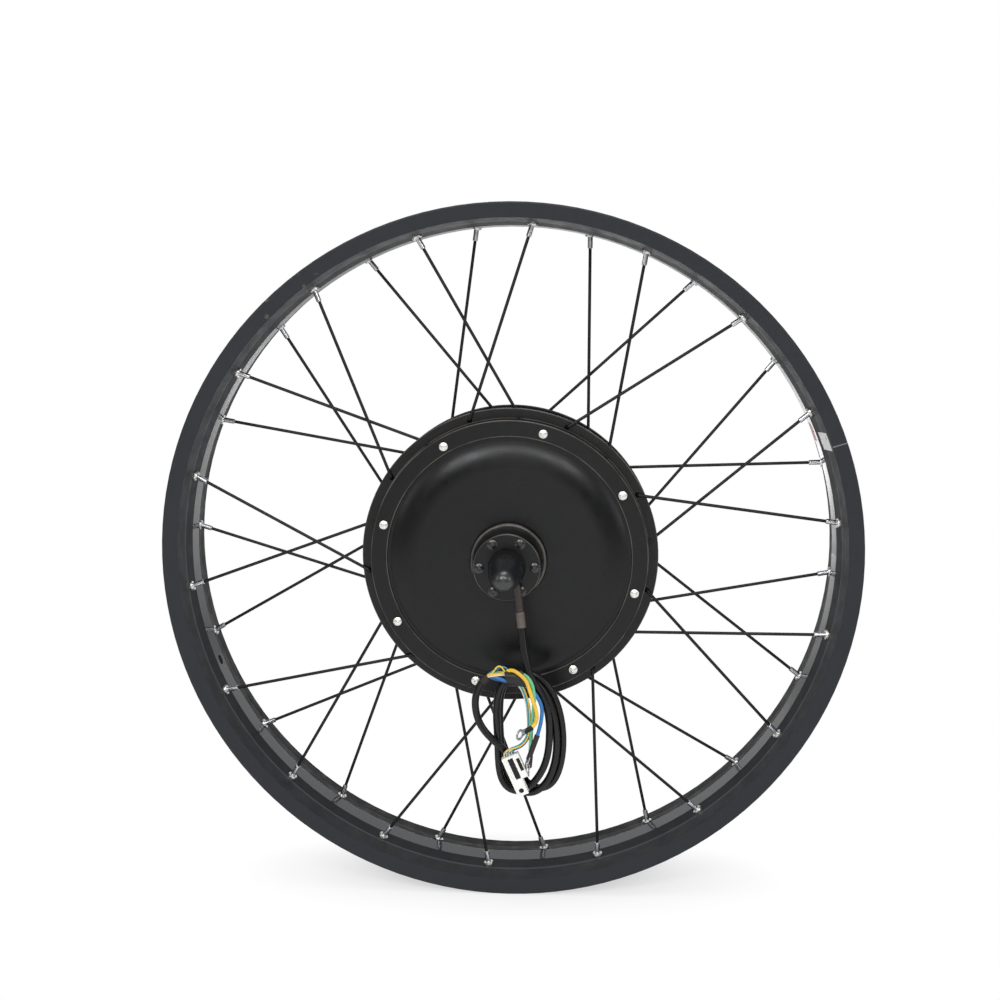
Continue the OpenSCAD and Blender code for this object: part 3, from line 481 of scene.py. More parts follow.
@dataclass(frozen=True)
class Finish:
    """How a material looks, and the nodes that draw it.

    Attributes:
        name: The material's name.
        colour: Its colour, as rrggbb.
        rough: Its roughness.
        metal: 1 for bare metal.
        specular: The specular level of a coat or a plastic.
        mottle: How much the colour varies, as a share.
        mottle_size: Width of the blotches, in metres.
        grain: Strength of the fine relief.
        grain_size: Width of the fine relief, in metres.
        lines: Which way fine lines run.
        line_size: Spacing of the lines, in metres.
        coat: Weight of a clear coat.
        tint: Tint of its reflections, as rrggbb.
    """

    name: str
    colour: str
    rough: float = 0.5
    metal: float = 0.0
    specular: float = 0.5
    mottle: float = 0.15
    mottle_size: float = 0.02
    grain: float = 0.1
    grain_size: float = 0.0006
    lines: Lines = Lines.NONE
    line_size: float = 0.0005
    coat: float = 0.0
    tint: str = "ffffff"

    def material(self) -> bpy.types.Material:
        """Return the material, made once."""
        return bpy.data.materials.get(self.name) or self.drawn()

    def drawn(self) -> bpy.types.Material:
        """Draw the material's nodes.

        The colour swings round the written one with a slow noise, the roughness with a finer one,
        and the relief is fine noise or fine lines.

        Returns:
            The new material.
        """
        material = bpy.data.materials.new(self.name)
        n = Nodes(material)
        fine = n.noise(self.mottle_size / 4, 4.0)
        rough = n.spread(fine, 0.3, 0.7, self.rough * 0.88, min(self.rough * 1.14, 1))
        for name, value in (
                ("Metallic", self.metal), ("Specular IOR Level", self.specular),
                ("Specular Tint", linear(self.tint)), ("Coat Weight", self.coat),
                ("Coat Roughness", COAT_ROUGH), ("Base Color", self.colours(n)),
                ("Roughness", rough), ("Normal", self.relief(n))):
            n.feed(value, n.shader.inputs[name])
        return material

    def colours(self, n: Nodes) -> Socket:
        """Return the colour, which swings with a slow noise.

        Args:
            n: The material's nodes.

        Returns:
            The output that carries it.
        """
        base = np.array(linear(self.colour))
        low, high = base * (1 - self.mottle), np.minimum(base * (1 + self.mottle), 1)
        low[3] = high[3] = 1
        share = n.spread(n.noise(self.mottle_size), 0.35, 0.65, 0, 1)
        return n.blend(share, tuple(low), tuple(high))

    def relief(self, n: Nodes) -> Socket:
        """Return the bumped normal: fine noise, or lines where the finish has them."""
        if self.lines is Lines.NONE:
            height = n.noise(self.grain_size, 2.0)
        else:
            height = n.noise(1.0, 2.0, self.line_place(n))
        bump = n.add("ShaderNodeBump", Strength=self.grain, Distance=RELIEF_DEPTH, Height=height)
        return bump.outputs["Normal"]

    def line_place(self, n: Nodes) -> Socket:
        """Return a place that is stretched along the lines, so that noise on it draws lines."""
        if self.lines is Lines.ROUND_AXLE:
            r, y, angle = n.round_axle()
            x, y, z = (n.maths("DIVIDE", r, self.line_size), n.maths("DIVIDE", y, self.line_size),
                       n.times(angle, 2.0))
        else:
            across, along, _ = n.split(n.add("ShaderNodeTexCoord").outputs["UV"])
            x, y, z = n.maths("DIVIDE", along, self.line_size), n.times(across, 2.0), 0.0
        return n.add("ShaderNodeCombineXYZ", X=x, Y=y, Z=z).outputs[0]


@dataclass(frozen=True)
class RimFinish(Finish):
    """Satin black of the rim, with the joint of the extrusion, faint scuffs, painted shade on its
    slopes and a painted highlight along its ridges.

    Attributes:
        seam_turn: Where the joint is round the wheel, in degrees.
        seam_half: Half its width, in radians.
        scuff_from, scuff_to: Ends of the scuffed arc, in degrees.
        bed_half: Half the width of the bed between the nipples, in millimetres.
        bed_share: How rough the bed is, as a share of the rest.
        bed_r, slope_r, far_r: Radii that the bed, the slopes with their painted shade and the far
            slope's sheen end at.
        ridge_y, lip_y: Where the painted highlight of the ridge and the lips are, off the wheel's
            middle.
        far_sheen: Specular level of the far slope, lowered as painted shade.
    """

    seam_turn: float = 20.0
    seam_half: float = 0.0015
    scuff_from: float = 121.0
    scuff_to: float = 135.0
    bed_half: float = 9.5
    bed_share: float = 0.28
    bed_r: float = 271.5
    slope_r: float = 273.8
    far_r: float = 274.5
    ridge_y: float = 22.6
    lip_y: float = 40.4
    far_sheen: float = 0.05

    def drawn(self) -> bpy.types.Material:
        """Draw the nodes, with a smoother bed than the rest and a far slope whose lowered sheen is
        painted shade.
        """
        material = super().drawn()
        n = Nodes(material)
        r, y, _ = n.round_axle()
        # Painted shade: the far slope gets a lower specular level, which darkens it.
        far = n.times(n.above(y, self.bed_half * MM), n.below(r, self.far_r * MM))
        sheen = n.spread(far, 0, 1, self.specular, self.far_sheen)
        n.feed(sheen, n.shader.inputs["Specular IOR Level"])
        near = n.below(n.maths("ABSOLUTE", y), self.bed_half * MM)
        bed = n.times(near, n.below(r, self.bed_r * MM))
        share = n.maths("SUBTRACT", 1.0, n.times(bed, 1 - self.bed_share))
        rough = n.shader.inputs["Roughness"]
        n.feed(n.times(rough.links[0].from_socket, share), rough)
        return material

    def colours(self, n: Nodes) -> Socket:
        """Return the colour: painted shade on the slopes, a painted highlight along the ridge, scuffs
        on an arc and a thin seam.
        """
        r, y, angle = n.round_axle()
        off = n.maths("ABSOLUTE", y)
        # Painted shade: the slopes' colour is drawn towards a darker black.
        slope = n.times(n.above(off, self.bed_half * MM), n.below(r, self.slope_r * MM))
        base = n.blend(n.times(slope, 0.8), super().colours(n), linear("07080a"))
        # Painted highlight: a paler line along each ridge of the slopes.
        ridge = n.spread(n.apart(off, self.ridge_y * MM), 0.0004, 0.0018, 0.55, 0)
        base = n.blend(n.times(ridge, slope), base, linear("4e5054"))
        arc = n.times(n.above(angle, math.radians(self.scuff_from)),
                      n.below(angle, math.radians(self.scuff_to)))
        marks = n.spread(n.noise(0.008, 6.0), 0.61, 0.7, 0, 0.4)
        base = n.blend(n.times(arc, marks), base, linear("8a7f74"))
        joint = n.below(n.apart(angle, math.radians(self.seam_turn)), self.seam_half)
        seam = n.times(joint, n.above(off, self.lip_y * MM))
        return n.blend(n.times(seam, 0.75), base, linear("8a827f"))


@dataclass(frozen=True)
class EdgeHighlightFinish(Finish):
    """A metal with a painted highlight on its sharp edges.

    Attributes:
        edge: Colour of the painted highlight on the edges.
        highlight_share: How much of the painted highlight shows.
    """

    edge: str = "f0f0f0"
    highlight_share: float = 0.5

    def colours(self, n: Nodes) -> Socket:
        """Return the colour, with a painted highlight where the surface is sharply convex."""
        point = n.add("ShaderNodeNewGeometry").outputs["Pointiness"]
        # Painted highlight: sharply convex places are drawn towards a lighter colour.
        edge_highlight = n.times(n.spread(point, 0.53, 0.6, 0, self.highlight_share),
                         n.spread(n.noise(0.004, 4.0), 0.4, 0.6, 0.3, 1))
        return n.blend(edge_highlight, super().colours(n), linear(self.edge))


@dataclass(frozen=True)
class RingHighlightFinish(Finish):
    """A coat with painted highlight lines along the round edges of a turned part.

    Attributes:
        rings: Radius and half width of each painted highlight line, in millimetres.
        edge: Colour of the painted highlight lines.
        highlight_share: How much of the painted highlight shows.
    """

    rings: tuple = ()
    edge: str = "77716a"
    highlight_share: float = 0.7

    def colours(self, n: Nodes) -> Socket:
        """Return the colour, with a painted highlight line close to each edge, with gaps that follow a
        noise.
        """
        base = super().colours(n)
        r, _, _ = n.round_axle()
        gaps = n.spread(n.noise(0.02, 4.0), 0.35, 0.6, 0.4, 1)
        for at, half in self.rings:
            # Painted highlight: a lighter line at the edge's radius.
            line = n.spread(n.apart(r, at * MM), 0, half * MM, self.highlight_share, 0)
            base = n.blend(n.times(line, gaps), base, linear(self.edge))
        return base


RIM = RimFinish("rim coat", "17181c", 0.52, mottle=0.12, mottle_size=0.05, grain=0.05,
                lines=Lines.ROUND_AXLE, tint="eff5ff")
# The rings of the hub and cover coats are painted highlight lines on their round edges.
HUB = RingHighlightFinish("hub coat", "0b0b0c", 0.34, specular=0.36, mottle=0.14, mottle_size=0.03,
                  grain=0.12, grain_size=0.0005, rings=((122.4, 0.6), (114.6, 0.5)))
COVER = RingHighlightFinish("cover coat", "060607", 0.31, specular=0.34, mottle=0.12, mottle_size=0.035,
                    grain=0.08, grain_size=0.0005, tint="fcfdff",
                    rings=((113.5, 0.6), (100.7, 0.5), (29.9, 1.3), (26.5, 0.4)))
SPOKE = Finish("spoke coat", "0a0a0b", 0.4, specular=0.35, mottle=0.1, mottle_size=0.03,
               grain=0.01, grain_size=0.0004)
PLATED = EdgeHighlightFinish("bright plating", "d2d3d8", 0.28, metal=1, mottle=0.06, mottle_size=0.003,
                    grain=0.015, grain_size=0.0004, edge="e8e8ea")
EYELET = Finish("eyelet plating", "dedcd6", 0.34, metal=1, mottle=0.08, mottle_size=0.004,
                grain=0.02, grain_size=0.0004)
SCREW = EdgeHighlightFinish("zinc plating", "e8e5df", 0.36, metal=1, mottle=0.12, mottle_size=0.003,
                   grain_size=0.0003)
BOLT = Finish("black oxide", "0d0d0e", 0.27, specular=0.75, mottle=0.2, mottle_size=0.003,
              grain=0.06, grain_size=0.0003)
RUBBER = Finish("seal rubber", "0a0a0a", 0.75, specular=0.25, mottle=0.2, mottle_size=0.004,
                grain=0.2, grain_size=0.0003)
GROUND = Finish("ground steel", "8f9194", 0.3, metal=1, mottle=0.12, mottle_size=0.01, grain=0.15,
                lines=Lines.ROUND_AXLE, line_size=0.0003)
NICKEL = Finish("nickel plating", "a9a9ac", 0.24, metal=1, mottle=0.1, mottle_size=0.008,
                grain=0.06)
RACE = Finish("polished bearing steel", "bcbec2", 0.14, metal=1, mottle=0.06, mottle_size=0.006,
              grain=0.05, lines=Lines.ROUND_AXLE, line_size=0.0003)
BRASS = Finish("brass", "c2a053", 0.32, metal=1, mottle=0.12, mottle_size=0.005)
TURNED = Finish("turned steel", "8a8c90", 0.28, metal=1, mottle=0.1, mottle_size=0.01, grain=0.2,
                lines=Lines.ROUND_AXLE, line_size=0.0004)
CAST = Finish("cast alloy", "a4a6a8", 0.5, metal=1, mottle=0.14, mottle_size=0.006, grain=0.3,
              grain_size=0.0008)
CORE = Finish("coated laminations", "2d4a38", 0.42, mottle=0.16, mottle_size=0.01, grain=0.2,
              grain_size=0.0007)
COPPER = Finish("enamelled copper", "8e4a22", 0.26, metal=0.8, mottle=0.2, mottle_size=0.003,
                grain=0.35, grain_size=0.0009, coat=0.4)
BOARD = Finish("solder mask", "14502c", 0.32, mottle=0.16, mottle_size=0.006)
MOULDED_AND_SHADE = Finish("black moulding", "101010", 0.5, specular=0.4, mottle_size=0.004, grain=0.14)
CAP = Finish("cap plastic", "101316", 0.31, specular=0.9, mottle=0.1, mottle_size=0.01,
             grain=0.03, grain_size=0.0005)
JACKET = Finish("cable jacket", "070708", 0.31, specular=0.42, grain=0.012, lines=Lines.ROUND_UV,
                line_size=0.0012)
TAPE = Finish("wrap tape", "111112", 0.4, mottle=0.2, mottle_size=0.006, grain=0.08,
              lines=Lines.ROUND_UV, line_size=0.0009)
SLEEVE = Finish("sleeve rubber", "5c534d", 0.5, specular=0.4, mottle_size=0.005, grain=0.08,
                grain_size=0.0004)
RELIEF = Finish("strain relief rubber", "37302c", 0.42, specular=0.4, mottle=0.2,
                mottle_size=0.005, grain=0.2, grain_size=0.0004)
SHRINK = Finish("shrink tube", "221a19", 0.45, specular=0.45, mottle=0.2, mottle_size=0.003,
                grain=0.2, grain_size=0.0004)
TIN = EdgeHighlightFinish("tin plating", "b4b4b6", 0.3, metal=1, mottle=0.16, mottle_size=0.002,
                 grain_size=0.0003, edge="e0e0e2")
NYLON = Finish("white nylon", "f2f1ee", 0.42, mottle=0.03, mottle_size=0.006, grain=0.08,
               grain_size=0.0005)
LABEL = Finish("label white", "ecebea", 0.38, mottle=0.04, mottle_size=0.004, grain=0.06)
LABEL_RED = Finish("label red", "b8474a", 0.38, mottle=0.1, mottle_size=0.003, grain=0.06)


def both(*names: str) -> tuple[str, ...]:
    """Return the names of the left and the right piece of each kind."""
    return tuple(f"{side}_{name}" for name in names for side in ("left", "right"))


NODE_FINISHES = {
    RIM: ("rim",),
    HUB: ("hub_shell",),
    COVER: both("cover"),
    SPOKE: both("outer_spokes", "inner_spokes"),
    PLATED: both("nipples"),
    EYELET: ("eyelets",),
    SCREW: both("cover_screws"),
    BOLT: ("disc_bolts",),
    RUBBER: (*both("seal"), "cable_grommet"),
    GROUND: ("flux_ring", "axle_key", "left_circlip", "right_spacer", *both("washer", "nut")),
    NICKEL: ("magnets",),
    RACE: both("bearing_outer", "bearing_balls", "bearing_inner"),
    BRASS: both("bearing_cage"),
    TURNED: ("axle",),
    CAST: ("stator_spider",),
    CORE: ("stator_core",),
    COPPER: ("windings",),
    BOARD: ("hall_board",),
    MOULDED_AND_SHADE: ("hall_sensors", "lead_bundle"),
    CAP: both("axle_cap"),
    NYLON: ("hall_connector",),
}


def dress_nodes() -> None:
    """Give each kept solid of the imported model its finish."""
    for finish, names in NODE_FINISHES.items():
        for name in names:
            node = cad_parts[name]
            node.data.materials.clear()
            node.data.materials.append(finish.material())
            log.info("%s: %s", name, finish.name)


# ---------------------------------------------------------------- the cable and what hangs on it

def stretch(path: np.ndarray, start: float, end: float, step: float = 0.0006) -> np.ndarray:
    """Return the part of a line between two distances along it, in metres."""
    run = run_of(path)
    at = np.linspace(start, end, max(int((end - start) / step), FEWEST))
    return np.stack([np.interp(at, run, path[:, k]) for k in range(3)], axis=1)


@dataclass
class MotorCable:
    """The motor's cable: out of the axle, down beside the cover, and three turns of a hanging coil.

    Attributes:
        diameter: Diameter of the jacket in millimetres.
        relief_l: Length of the tapered strain relief.
        ribs: Number of its ribs.
        sleeve_l: Length of the sleeve below it.
        boot_l: Length of the shrink boot at the jacket's end.
        route: Points of the centre line in millimetres.
    """

    diameter: float = 5.8
    relief_l: float = 23.0
    ribs: int = 9
    sleeve_l: float = 12.5
    boot_l: float = 6.0
    route: list = field(default_factory=lambda: [
        (6.4, -80, -10.2), (7.95, -80, -12.7), (9, -80.6, -16.6), (9.4, -81.1, -20.5),
        (10, -82, -26), (11, -83, -33), (12, -84, -42), (13, -85.5, -52), (14.5, -87.5, -62),
        (16, -89.3, -70), (17.6, -90.5, -78), (20, -90.8, -84), (24.5, -90, -91),
        (29.5, -88.8, -100), (33, -88, -110), (34.5, -87.5, -120), (34.6, -87.5, -135),
        (33.3, -87.5, -148), (29.5, -87.5, -160), (24, -87, -169), (17.4, -86.6, -176.2),
        (8.9, -86.2, -179), (1, -85.8, -176), (-3.6, -85.4, -168.6), (-5.3, -85, -160),
        (-6, -84.8, -150), (-6.4, -84.7, -135), (-7.4, -84.7, -120), (-7.2, -84.7, -107),
        (-5.6, -84.7, -97), (-2.6, -84.7, -90), (2.3, -84.7, -85.6), (8, -84.7, -84),
        (14, -84.5, -84.3), (22, -84.2, -87.5), (30, -84, -97), (36, -84, -110), (39.4, -84, -125),
        (40.5, -84, -140), (38.8, -84.2, -156), (33, -84.4, -171), (22, -83, -181),
        (10, -80.3, -180.5), (0, -79.3, -167), (-3.5, -79, -150), (-4.5, -78.9, -135),
        (-5.2, -78.9, -120), (-5, -78.9, -107), (-3.5, -78.9, -97), (0, -78.9, -90),
        (5, -78.9, -85), (11, -78.9, -83), (18, -78.8, -83), (27, -78.5, -87.5), (36, -78.5, -98),
        (42, -78.5, -113), (45, -78.5, -130), (45.3, -78.5, -145), (43.2, -78.5, -160),
        (39.6, -78.5, -170.3), (36.3, -78.5, -175.2), (31.5, -78.5, -178.3), (26, -78.6, -179.1),
        (20.6, -79, -177.3), (16.3, -79.8, -173.4), (13.9, -81, -168.8), (6.6, -85, -154.4),
        (0, -89.5, -144.5), (-7, -90.9, -137.5), (-14.5, -90.5, -130.5), (-20.8, -90, -121.5),
        (-23.7, -90, -111), (-24, -90, -101), (-21.5, -90, -92.5), (-17.5, -90, -86.5),
        (-14, -90, -83.5)])

    def build(self, wrap: bpy.types.Object) -> None:
        """Args:
            wrap: The wrap that holds the coil.
        """
        path = smooth_route(self.route, 0.9, soften=60)
        r = self.diameter / 2 * MM
        line, radius = eased_ends(path, r, 0.0006)
        cable = add_piece("cable_jacket", tube(line, radius, 24), JACKET, AXLE)
        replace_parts(cable, "motor_cable", "cable_coil")
        whole = length_of(path)
        pieces = [self.relief(path, r), self.sleeve(path, r), self.boot(path, r, whole), wrap]
        log.info("cable is %.3f m long", whole)

    def relief(self, path: np.ndarray, r: float) -> bpy.types.Object:
        """Make the tapered strain relief.

        Over its length t the wall falls by (1 - t) to the power 1.2 to its least thickness, and
        ribs, a sine whose height is (1 - t), fade down the cable.

        Args:
            path: Points of the cable, in metres.
            r: Radius of the jacket.

        Returns:
            The strain relief.
        """
        part = stretch(path, 0.0004, self.relief_l * MM)
        t = np.linspace(0, 1, len(part))
        ribs = 0.00008 * np.sin(t * 2 * np.pi * self.ribs) * (1 - t)
        line = np.vstack([part[:1], part, part[-1:]])
        radius = np.concatenate([[r], r + 0.00045 * (1 - t) ** 1.2 + 0.00015 + ribs, [r]])
        skin = tube(spaced(line), radius, 28)
        return add_piece("strain_relief", skin, RELIEF, AXLE)

    def sleeve(self, path: np.ndarray, r: float) -> bpy.types.Object:
        """Make the sleeve under the strain relief, an even tube with round edges."""
        start = (self.relief_l + 0.6) * MM
        part = stretch(path, start, start + self.sleeve_l * MM)
        line, radius = eased_ends(part, r + 0.00055, 0.0005)
        return add_piece("cable_sleeve", tube(line, radius, 28), SLEEVE, AXLE)

    def boot(self, path: np.ndarray, r: float, whole: float) -> bpy.types.Object:
        """Make the shrink boot that closes the jacket's end."""
        part = stretch(path, whole - self.boot_l * MM, whole)
        line, radius = eased_ends(part, r + 0.0003, 0.0003)
        return add_piece("cable_boot", tube(line, radius, 24), SHRINK, AXLE)


def spaced(line: np.ndarray) -> np.ndarray:
    """Move repeated end points apart by a hair, so that each ring has a direction.

    Args:
        line: Points whose first two and last two are the same.

    Returns:
        The same line with its ends drawn out.
    """
    out = line.copy()
    out[0] += (out[1] - out[2]) * 0.02
    out[-1] += (out[-2] - out[-3]) * 0.02
    return out


@dataclass
class CoilWrap:
    """Black tape wound round the coil where its turns pass.

    Attributes:
        x_from, x_to: Its ends in millimetres.
        centre: Y and Z of its middle.
        half: Half its depth and half its height.
        turn_w: Width of one turn of the tape.
        tape_t: Thickness of the tape.
        step: Share of a turn over which it climbs onto the last one.
    """

    x_from: float = 0.5
    x_to: float = 15.5
    centre: tuple = (-86.3, -84.2)
    half: tuple = (10.1, 7.8)
    turn_w: float = 3.2
    tape_t: float = 0.28
    step: float = 0.12

    def build(self) -> bpy.types.Object:
        """Make the tape's skin.

        It is an oval whose radius rises by a tape's thickness over each turn, drawn in at its waist
        and its ends, with a few slow lumps from the turns of cable below it.

        Returns:
            The wrap.
        """
        x = np.linspace(self.x_from, self.x_to, 76)
        a = np.linspace(0, 2 * np.pi, 97)[:-1]
        turns = (x[:, None] - self.x_from) / self.turn_w + a[None] / (2 * np.pi)
        part = turns % 1
        lift = self.tape_t * np.minimum(part / self.step, 1) - self.tape_t * part
        t = (x - x.mean()) / (x[-1] - x[0]) * 2
        waist = -0.25 + 0.5 * t**2 + 0.1 * np.sin(4 * t)
        ends = -0.9 * np.maximum(np.abs(t) - 0.94, 0) / 0.06
        lumps = 0.22 * np.cos(3 * a + 1)[None] + 0.15 * np.cos(5 * a + 2 * t[:, None])
        grow = lift + (waist + ends)[:, None] + lumps
        y = self.centre[0] + (self.half[0] + grow) * np.cos(a)[None]
        z = self.centre[1] + (self.half[1] + grow) * np.sin(a)[None]
        z = z - 0.12 * (x - x.mean())[:, None]
        lean = x[:, None] - 0.25 * (z - self.centre[1])
        rings = np.stack([lean, y, z], -1) * MM
        wrap = add_piece("coil_wrap", shell(rings, x * MM), TAPE, AXLE)
        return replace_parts(wrap, "cable_tie")


def basis(along: tuple, face: tuple) -> np.ndarray:
    """Return a turn matrix.

    Args:
        along: Direction of the third axis.
        face: Direction that the second axis faces, less its share along the third.

    Returns:
        The matrix, whose columns are the axes.
    """
    w = unit(np.asarray(along, float))
    v = np.asarray(face, float)
    v = unit(v - w * (v @ w))
    return np.stack([np.cross(v, w), v, w], axis=1)


@dataclass
class RingTerminal:
    """A crimped ring terminal, drawn from its barrel along +Z with its eye facing +Y.

    Attributes:
        eye_d: Outer diameter of the eye.
        hole_d: Diameter of its hole.
        sheet_t: Thickness of the metal.
        barrel_l: Length of the crimped barrel.
        barrel_d: Diameter of the barrel.
        eye_at: Distance from the barrel's start to the eye's centre.
        edge: Radius of the eye's edges.
    """

    eye_d: float = 9.0
    hole_d: float = 5.3
    sheet_t: float = 0.9
    barrel_l: float = 6.0
    barrel_d: float = 3.9
    eye_at: float = 15.5
    edge: float = 0.25

    def eye(self) -> Surface:
        """Return the eye: a rectangle with round corners, turned round the eye's axis."""
        e = self.edge
        outer, inner = self.eye_d / 2 - e, self.hole_d / 2 + e
        top, low = self.sheet_t / 2 - e, -self.sheet_t / 2 + e
        q = np.linspace(0, np.pi / 2, 4)
        sin, cos = e * np.sin(q), e * np.cos(q)
        r = np.concatenate([outer + sin, outer + cos, inner - sin, inner - cos])[None]
        y = np.concatenate([low - cos, top + sin, top + cos, low - sin])[None]
        n, m = 48, r.size
        a = circle(n)[:, None]
        points = [r * np.sin(a), np.broadcast_to(y, (n, m)), self.eye_at + r * np.cos(a)]
        i, k = np.meshgrid(np.arange(n), np.arange(m), indexing="ij")
        uv = np.stack([i / n, k / m * 0.01], -1).reshape(-1, 2)
        return Surface(np.stack(points, -1).reshape(-1, 3) * MM, quads(n, m, ring=True), uv)

    def neck(self) -> Surface:
        """Return the tongue, a rounded rectangle that widens from the barrel to the eye."""
        z = np.linspace(self.barrel_l - 0.8, self.eye_at - self.hole_d / 2 - 0.5, 14)
        t = ((z - z[0]) / (z[-1] - z[0]))[:, None]
        wide = (self.barrel_d * 0.42) * (1 - t) + self.eye_d * 0.34 * t
        thick = self.sheet_t / 2 * (1 + 0.7 * (1 - t) ** 2)
        cos, sin = np.cos(circle(20)), np.sin(circle(20))
        x = np.sign(cos) * np.abs(cos) ** 0.4 * wide
        y = np.sign(sin) * np.abs(sin) ** 0.4 * thick
        return shell(np.stack([x, y, np.broadcast_to(z[:, None], x.shape)], -1) * MM, z * MM)

    def barrel(self) -> Surface:
        """Return the barrel, pinched where it is crimped."""
        z = np.linspace(0, self.barrel_l, 26)
        a = circle(28)
        pinch = 0.55 * np.exp(-((z - self.barrel_l * 0.52) / 1.0) ** 2)
        r = self.barrel_d / 2 - 0.18 * np.exp(-z / 0.3) - 0.3 * np.exp(-(self.barrel_l - z) / 0.4)
        y = np.sin(a)[None] * (r - pinch)[:, None]
        x = np.cos(a)[None] * (r + pinch * 0.25)[:, None]
        rings = np.stack([x, y, np.broadcast_to(z[:, None], x.shape)], -1) * MM
        return shell(rings, z * MM)

    def build(self, name: str, start: np.ndarray, along: tuple, face: tuple) -> bpy.types.Object:
        """Make the terminal at the end of a lead.

        Args:
            name: The piece's name.
            start: Where the barrel starts, in metres.
            along: Direction from the barrel to the eye.
            face: Direction that the eye faces.

        Returns:
            The terminal.
        """
        whole = self.barrel().joined(self.neck()).joined(self.eye())
        return add_piece(name, whole.placed(start, basis(along, face)), TIN, AXLE)


@dataclass
class PhaseLead:
    """One of the motor's three thick leads, with its shrink tube and its ring terminal.

    Attributes:
        name: Its name.
        colour: Its insulation's colour, as rrggbb.
        route: Points of its centre line in millimetres.
        face: Direction that the terminal's eye faces.
        along: Direction of the terminal.
        shrink: Length of the shrink tube on the lead.
        over: Length of the shrink tube beyond the lead's end.
        diameter: Diameter of the insulation.
    """

    name: str
    colour: str
    route: list
    along: tuple
    face: tuple
    shrink: float = 7.0
    over: float = 5.0
    diameter: float = 3.0

    def build(self) -> tuple:
        """Returns:
            The lead and the terminal.
        """
        path = smooth_route(self.route, 0.6, soften=14)
        r = self.diameter / 2 * MM
        line, radius = eased_ends(path, r, 0.0003)
        skin = Finish(f"{self.name} insulation", self.colour, 0.36, mottle=0.08, mottle_size=0.006,
                      grain=0.08, lines=Lines.ROUND_UV, line_size=0.001)
        lead = add_piece(f"{self.name}_lead", tube(line, radius, 18), skin, AXLE)
        whole, ahead = length_of(path), unit(np.array(self.along))
        terminal = RingTerminal().build(f"{self.name}_terminal", path[-1] - ahead * MM,
                                        self.along, self.face)
        end = path[-1] + ahead * np.linspace(0.5, self.over, 10)[:, None] * MM
        over = np.vstack([stretch(path, whole - self.shrink * MM, whole), end])
        line, radius = eased_ends(over, r + 0.00062, 0.0004)
        shrink = add_piece(f"{self.name}_shrink", tube(line, radius, 20), SHRINK, AXLE)
        log.info("%s lead is %.3f m long", self.name, whole)
        return lead, terminal


PHASE_LEADS = [
    PhaseLead("blue", "2f70b2", [
        (-14, -90, -83.4), (-11, -91.2, -82.7), (-7, -92.6, -83.4), (-3, -93, -84.8),
        (3.7, -92, -87.2), (8, -91.6, -88.2), (13, -92, -88.6), (19, -93.5, -91.5), (25, -95, -98),
        (28.7, -95.6, -106.5), (28.4, -97.2, -116), (26.6, -98.5, -124), (23.5, -98.5, -133.5),
        (21.4, -98.1, -139.5)],
        along=(-0.3, 0.22, -0.93), face=(0.94, 0.2, -0.26), shrink=12.5, over=10.0),
    PhaseLead("yellow", "e6bb3a", [
        (-14, -90.6, -82.9), (-10.5, -92.2, -81.9), (-6, -93.2, -81), (-2.5, -92.2, -80.5),
        (0.5, -91.6, -79.2), (3.6, -93, -77.4), (6.6, -95.4, -76.9), (9.8, -97.2, -78.4),
        (13.6, -97.9, -81.2), (16.6, -98, -84.6), (18.6, -98, -90), (21.4, -98.4, -99),
        (24.2, -99.4, -107), (25, -100, -113), (23.8, -100.6, -118), (20.6, -101.6, -121.2)],
        along=(-0.58, -0.81, -0.12), face=(-0.81, 0.57, 0.1), shrink=1.0, over=8.0),
    PhaseLead("green", "6cbb8e", [
        (-14, -90, -82.6), (-10, -91, -82.4), (-5, -91, -81.6), (1, -90.4, -80.4), (8, -90.4, -80),
        (13.5, -92, -80.8), (18, -94.6, -83.2), (21, -95.8, -88), (22.4, -96, -95),
        (22.6, -96, -103), (21.9, -96, -112), (20.9, -96.2, -122), (20.2, -96.4, -133),
        (19.8, -95.8, -146.4)],
        along=(-0.08, 0.36, -0.93), face=(0.99, 0.06, -0.06), shrink=0.8, over=10.5),
]


